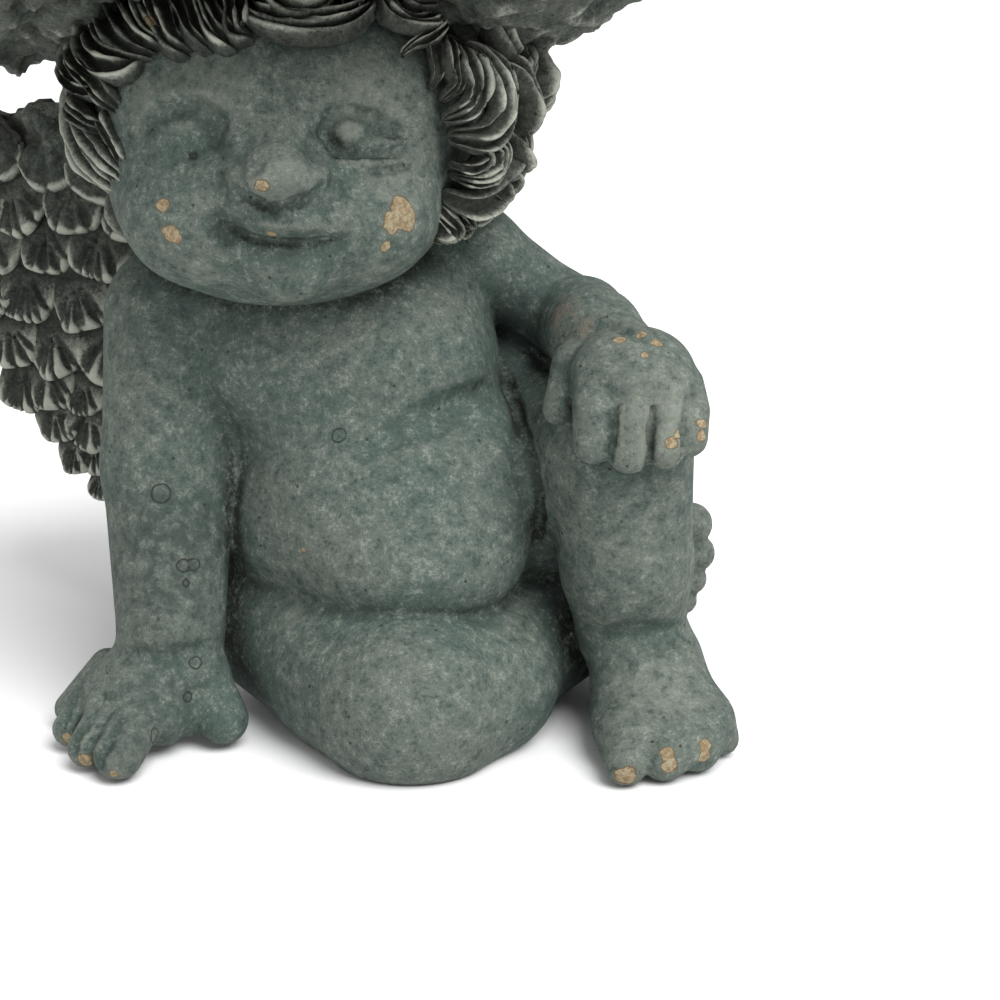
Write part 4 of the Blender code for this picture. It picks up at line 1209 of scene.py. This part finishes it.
def step(tree, value, low, high):
    """0 below low, 1 above high, smooth between; the other way round if low is the larger."""
    new = node(tree, "ShaderNodeMapRange", interpolation_type="SMOOTHSTEP")
    tree.links.new(value, new.inputs["Value"])
    new.inputs["From Min"].default_value, new.inputs["From Max"].default_value = low, high
    return new.outputs["Result"]


def layer(tree, factor, under, over, share=1):
    """The colour under, covered by the colour over as far as factor * share says."""
    new = node(tree, "ShaderNodeMix", data_type="RGBA")
    tree.links.new(weigh(tree, (factor, share)), new.inputs[0])
    feed(tree, new.inputs[6], under)
    feed(tree, new.inputs[7], over)
    return new.outputs[2]


# %% Weathered paint
BROAD, MIDDLE, FINE, GRAIN, RAGGED = (  # lumps per metre, detail, roughness
    (22, 3, 0.5), (190, 9, 0.72), (650, 6, 0.75), (1900, 3, 0.7), (300, 2, 0.4))
PITS_PER_METRE = 210.0
# The first colour below is dirt and painted shade together, laid in folds, valleys and gaps.
DIRT_AND_SHADE, PIT, RING_LINE = (0.022, 0.022, 0.017, 1), (0.02, 0.02, 0.018, 1), (0.02, 0.02, 0.016, 1)
STAIN_BROWN, CHIP_EDGE = (0.135, 0.095, 0.068, 1), (0.11, 0.085, 0.052, 1)
DARK_OCHRE, PALE_OCHRE = (0.20, 0.14, 0.077, 1), (0.335, 0.289, 0.189, 1)
DIRT_AND_SHADE_MOST, GLOSS = 0.93, 0.22
ROUGHNESS_RANGE = (0.70, 0.98)
BUMP_STRENGTH, BUMP_HEIGHT = 0.6, 0.0007          # share, metres


def weathered_paint(name, recess, exposed, ridge, ridge_share, dirt_and_shade_share, dirt_and_shade_from):
    """Mottled paint. Broad and middle noise choose between the green of the recesses and the
    greyer, worn tint; grains, pits and flecks go on top; black grime and painted shade gather where
    a point is closed in and in the valleys, the dry brush follows relief, broad patches paint
    highlight and shade along with worn and darker paint, and ochre shows where the chip mark passes
    a ragged threshold."""
    material = bpy.data.materials.new(name)
    material.use_nodes = True
    tree = material.node_tree
    shader = tree.nodes["Principled BSDF"]
    node(tree, "ShaderNodeTexCoord", name="place")
    broad, middle, fine, grain = [noise(tree, *kind) for kind in (BROAD, MIDDLE, FINE, GRAIN)]
    # Two of these marks carry painted shade as well as dirt: how closed in a point is, and its valleys.
    relief, valley_shade_and_dirt, shade = mark(tree, "relief"), mark(tree, "valley_shade_and_dirt"), mark(tree, "shade_and_dirt")

    # two greens, the darker one also where a point is closed in, as painted shade; then darker and paler
    # mottling and grains
    dim = tuple(c * 0.50 for c in recess[:3]) + (1,)
    bright = tuple(min(c * 1.75 + 0.02, 1) for c in exposed[:3]) + (1,)
    tint = weigh(tree, (broad, 0.55), (middle, 0.75), (fine, 0.35), (relief, 0.30), (shade, -0.25))
    tone = weigh(tree, (middle, 0.7), (fine, 0.8))
    pale = times(tree, step(tree, grain, 0.55, 0.66), step(tree, middle, 0.42, 0.58))
    colour = layer(tree, step(tree, tint, 0.66, 0.98), recess, exposed)
    colour = layer(tree, step(tree, tone, 0.74, 0.54), colour, dim, 0.95)
    colour = layer(tree, step(tree, tone, 0.77, 0.96), colour, bright, 0.88)
    colour = layer(tree, pale, colour, bright, 0.60)
    colour = layer(tree, step(tree, grain, 0.45, 0.34), colour, dim, 0.65)

    # pits, in one cell out of a few
    pits = node(tree, "ShaderNodeTexVoronoi", in_Scale=PITS_PER_METRE)
    tree.links.new(tree.nodes["place"].outputs["Object"], pits.inputs["Vector"])
    some = node(tree, "ShaderNodeSeparateColor")
    tree.links.new(pits.outputs["Color"], some.inputs[0])
    chosen = step(tree, some.outputs[0], 0.80, 0.84)
    pit = times(tree, step(tree, pits.outputs["Distance"], 0.16, 0.08), chosen)
    colour = layer(tree, pit, colour, PIT, 0.8)

    # the dry brush on the ridges, and dirt with painted shade in the folds, valleys and gaps
    brushed = step(tree, weigh(tree, (relief, 1), (fine, 0.7)), 0.80, 1.35)
    colour = layer(tree, brushed, colour, ridge, ridge_share)
    dirt_and_painted_shade = weigh(tree, (step(tree, shade, dirt_and_shade_from, dirt_and_shade_from + 0.7), 1), (valley_shade_and_dirt, dirt_and_shade_share))
    dirt_and_painted_shade = times(tree, dirt_and_painted_shade, step(tree, tone, 0.95, 0.60))
    dirt_and_painted_shade = math_node(tree, "MAXIMUM", dirt_and_painted_shade, times(tree, valley_shade_and_dirt, 0.6 * dirt_and_shade_share ** 2))
    colour = layer(tree, math_node(tree, "MINIMUM", dirt_and_painted_shade, DIRT_AND_SHADE_MOST), colour, DIRT_AND_SHADE)

    # broad patches from the tone mark: painted highlight with rubbed paint where it is positive, painted
    # shade with darker paint where it is negative; and stains
    light_and_wear_tone = mark(tree, "tone")
    lit_and_rubbed = times(tree, step(tree, light_and_wear_tone, 0.0, 1.0), step(tree, middle, 0.30, 0.62))
    colour = layer(tree, lit_and_rubbed, colour, ridge, 0.55)
    patchy = math_node(tree, "ADD", times(tree, step(tree, middle, 0.60, 0.40), 0.5), 0.30)
    colour = layer(tree, times(tree, step(tree, light_and_wear_tone, 0.0, -1.0), patchy), colour, dim)
    stain = times(tree, step(tree, mark(tree, "stain"), 0.0, 0.8), step(tree, middle, 0.40, 0.62))
    colour = layer(tree, stain, colour, STAIN_BROWN, 0.6)

    # chips with a ragged edge, and the rings of burst bubbles
    ragged = times(tree, math_node(tree, "SUBTRACT", noise(tree, *RAGGED), 0.5), 1.1)
    chip = weigh(tree, (mark(tree, "chip"), 1), (ragged, 1))
    bare, rim = step(tree, chip, 0.16, 0.24), step(tree, chip, 0.02, 0.14)
    ochre = layer(tree, step(tree, fine, 0.40, 0.62), DARK_OCHRE, PALE_OCHRE)
    colour = layer(tree, rim, colour, CHIP_EDGE)
    colour = layer(tree, bare, colour, ochre)
    off = math_node(tree, "ABSOLUTE", weigh(tree, (mark(tree, "ring"), 1), (ragged, 0.9)))
    ring = times(tree, step(tree, off, 0.50, 0.20), step(tree, fine, 0.34, 0.50))
    colour = layer(tree, ring, colour, RING_LINE, 0.85)
    tree.links.new(colour, shader.inputs["Base Color"])

    # a dull, uneven surface, deeper where the paint is gone
    shader.inputs["Specular IOR Level"].default_value = GLOSS
    rough = node(tree, "ShaderNodeMapRange")
    tree.links.new(middle, rough.inputs["Value"])
    rough.inputs["To Min"].default_value, rough.inputs["To Max"].default_value = ROUGHNESS_RANGE
    tree.links.new(rough.outputs["Result"], shader.inputs["Roughness"])
    lost = weigh(tree, (bare, 1), (pit, 1))
    bump = node(tree, "ShaderNodeBump", in_Strength=BUMP_STRENGTH, in_Distance=BUMP_HEIGHT)
    tree.links.new(weigh(tree, (fine, 0.9), (grain, 0.4), (middle, 1.1), (lost, -0.8)), bump.inputs["Height"])
    tree.links.new(bump.outputs["Normal"], shader.inputs["Normal"])
    return material


# %% Both paints
skin_paint = weathered_paint(
    "worn_verdigris", recess=(0.070, 0.099, 0.086, 1), exposed=(0.117, 0.135, 0.116, 1),
    ridge=(0.22, 0.24, 0.20, 1), ridge_share=0.45, dirt_and_shade_share=0.55, dirt_and_shade_from=0.45)
relief_paint = weathered_paint(
    "brushed_verdigris", recess=(0.030, 0.042, 0.036, 1), exposed=(0.075, 0.084, 0.070, 1),
    ridge=(0.43, 0.45, 0.38, 1), ridge_share=1.0, dirt_and_shade_share=1.0, dirt_and_shade_from=0.30)
for piece in (body, head):
    piece.data.materials.append(skin_paint)
for piece in [scalp, basin] + hair + wings:
    piece.data.materials.append(relief_paint)
print("paints mixed from", len(skin_paint.node_tree.nodes), "and", len(relief_paint.node_tree.nodes), "nodes")

# %% [markdown]
# ## Into the frame
# The figure is one casting on one body, so every piece rides on the root and together they
# stand for the one solid.

# %% Ride and replace
for piece in [body, head, scalp, basin] + hair + wings:
    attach(piece, "root")
    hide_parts("putto")

# %% [markdown]
# ## Stage, light and camera
# A soft sun, high on the front right, gives the shadows under the chin and the basin. A lamp
# above lifts the faces that look up, and a pale world fills the shadows over a pale floor. The
# camera stands level with the basin and looks down a little, near enough that the basin runs
# out of the frame. Its place, angle and lens follow a fit made beforehand.

# %% Stage
FLOOR_HALF, FLOOR_COLOUR, FLOOR_ROUGHNESS = 8, (0.92, 0.92, 0.92, 1), 0.9     # size in metres


def flat_material(name, colour):
    """A plain matt colour."""
    material = bpy.data.materials.new(name)
    material.use_nodes = True
    shader = material.node_tree.nodes["Principled BSDF"]
    shader.inputs["Base Color"].default_value = colour
    shader.inputs["Roughness"].default_value = FLOOR_ROUGHNESS
    return material


floor_mesh = bpy.data.meshes.new("floor")
corners = [(x * FLOOR_HALF, y * FLOOR_HALF, 0) for x, y in ((-1, -1), (1, -1), (1, 1), (-1, 1))]
floor_mesh.from_pydata(corners, [], [(0, 1, 2, 3)])
floor = new_object("floor", floor_mesh)
floor_mesh.materials.append(flat_material("pale floor", FLOOR_COLOUR))

# %% Light
WORLD_STRENGTH = 0.55
AIM = (0, 0, 0.1)                     # metres; both lamps face it
world = bpy.data.worlds.new("studio")
world.use_nodes = True
background = world.node_tree.nodes["Background"]
background.inputs["Color"].default_value = (1, 1, 1, 1)
background.inputs["Strength"].default_value = WORLD_STRENGTH
bpy.context.scene.world = world
bpy.context.scene.view_settings.view_transform = "Standard"


def lamp(kind, name, place, aim, **settings):
    """A lamp at `place` that faces `aim`."""
    data = bpy.data.lights.new(name, kind)
    for key, value in settings.items():
        setattr(data, key, value)
    holder = new_object(name, data)
    holder.location = place
    holder.rotation_euler = (Vector(aim) - Vector(place)).to_track_quat("-Z", "Y").to_euler()


lamp("SUN", "key", (0.45, -0.60, 1.05), AIM, energy=3.3, angle=math.radians(40))
lamp("AREA", "top", (0.1, -0.1, 1.5), AIM, energy=6, size=0.9)
print(len(bpy.data.lights), "lamps set")

# %% Camera
CAMERA_PLACE, CAMERA_DOWN = (0.0636, -0.7571, 0.29), 16.4     # metres, degrees below level
CAMERA_LENS, CAMERA_SENSOR = 75.6, 36                         # millimetres
camera_data = bpy.data.cameras.new("camera")
camera_data.lens, camera_data.sensor_width = CAMERA_LENS, CAMERA_SENSOR
camera = new_object("camera", camera_data)
camera.location = CAMERA_PLACE
camera.rotation_euler = (math.radians(90 - CAMERA_DOWN), 0, 0)
bpy.context.scene.camera = camera
print("camera looks down by", CAMERA_DOWN, "degrees")
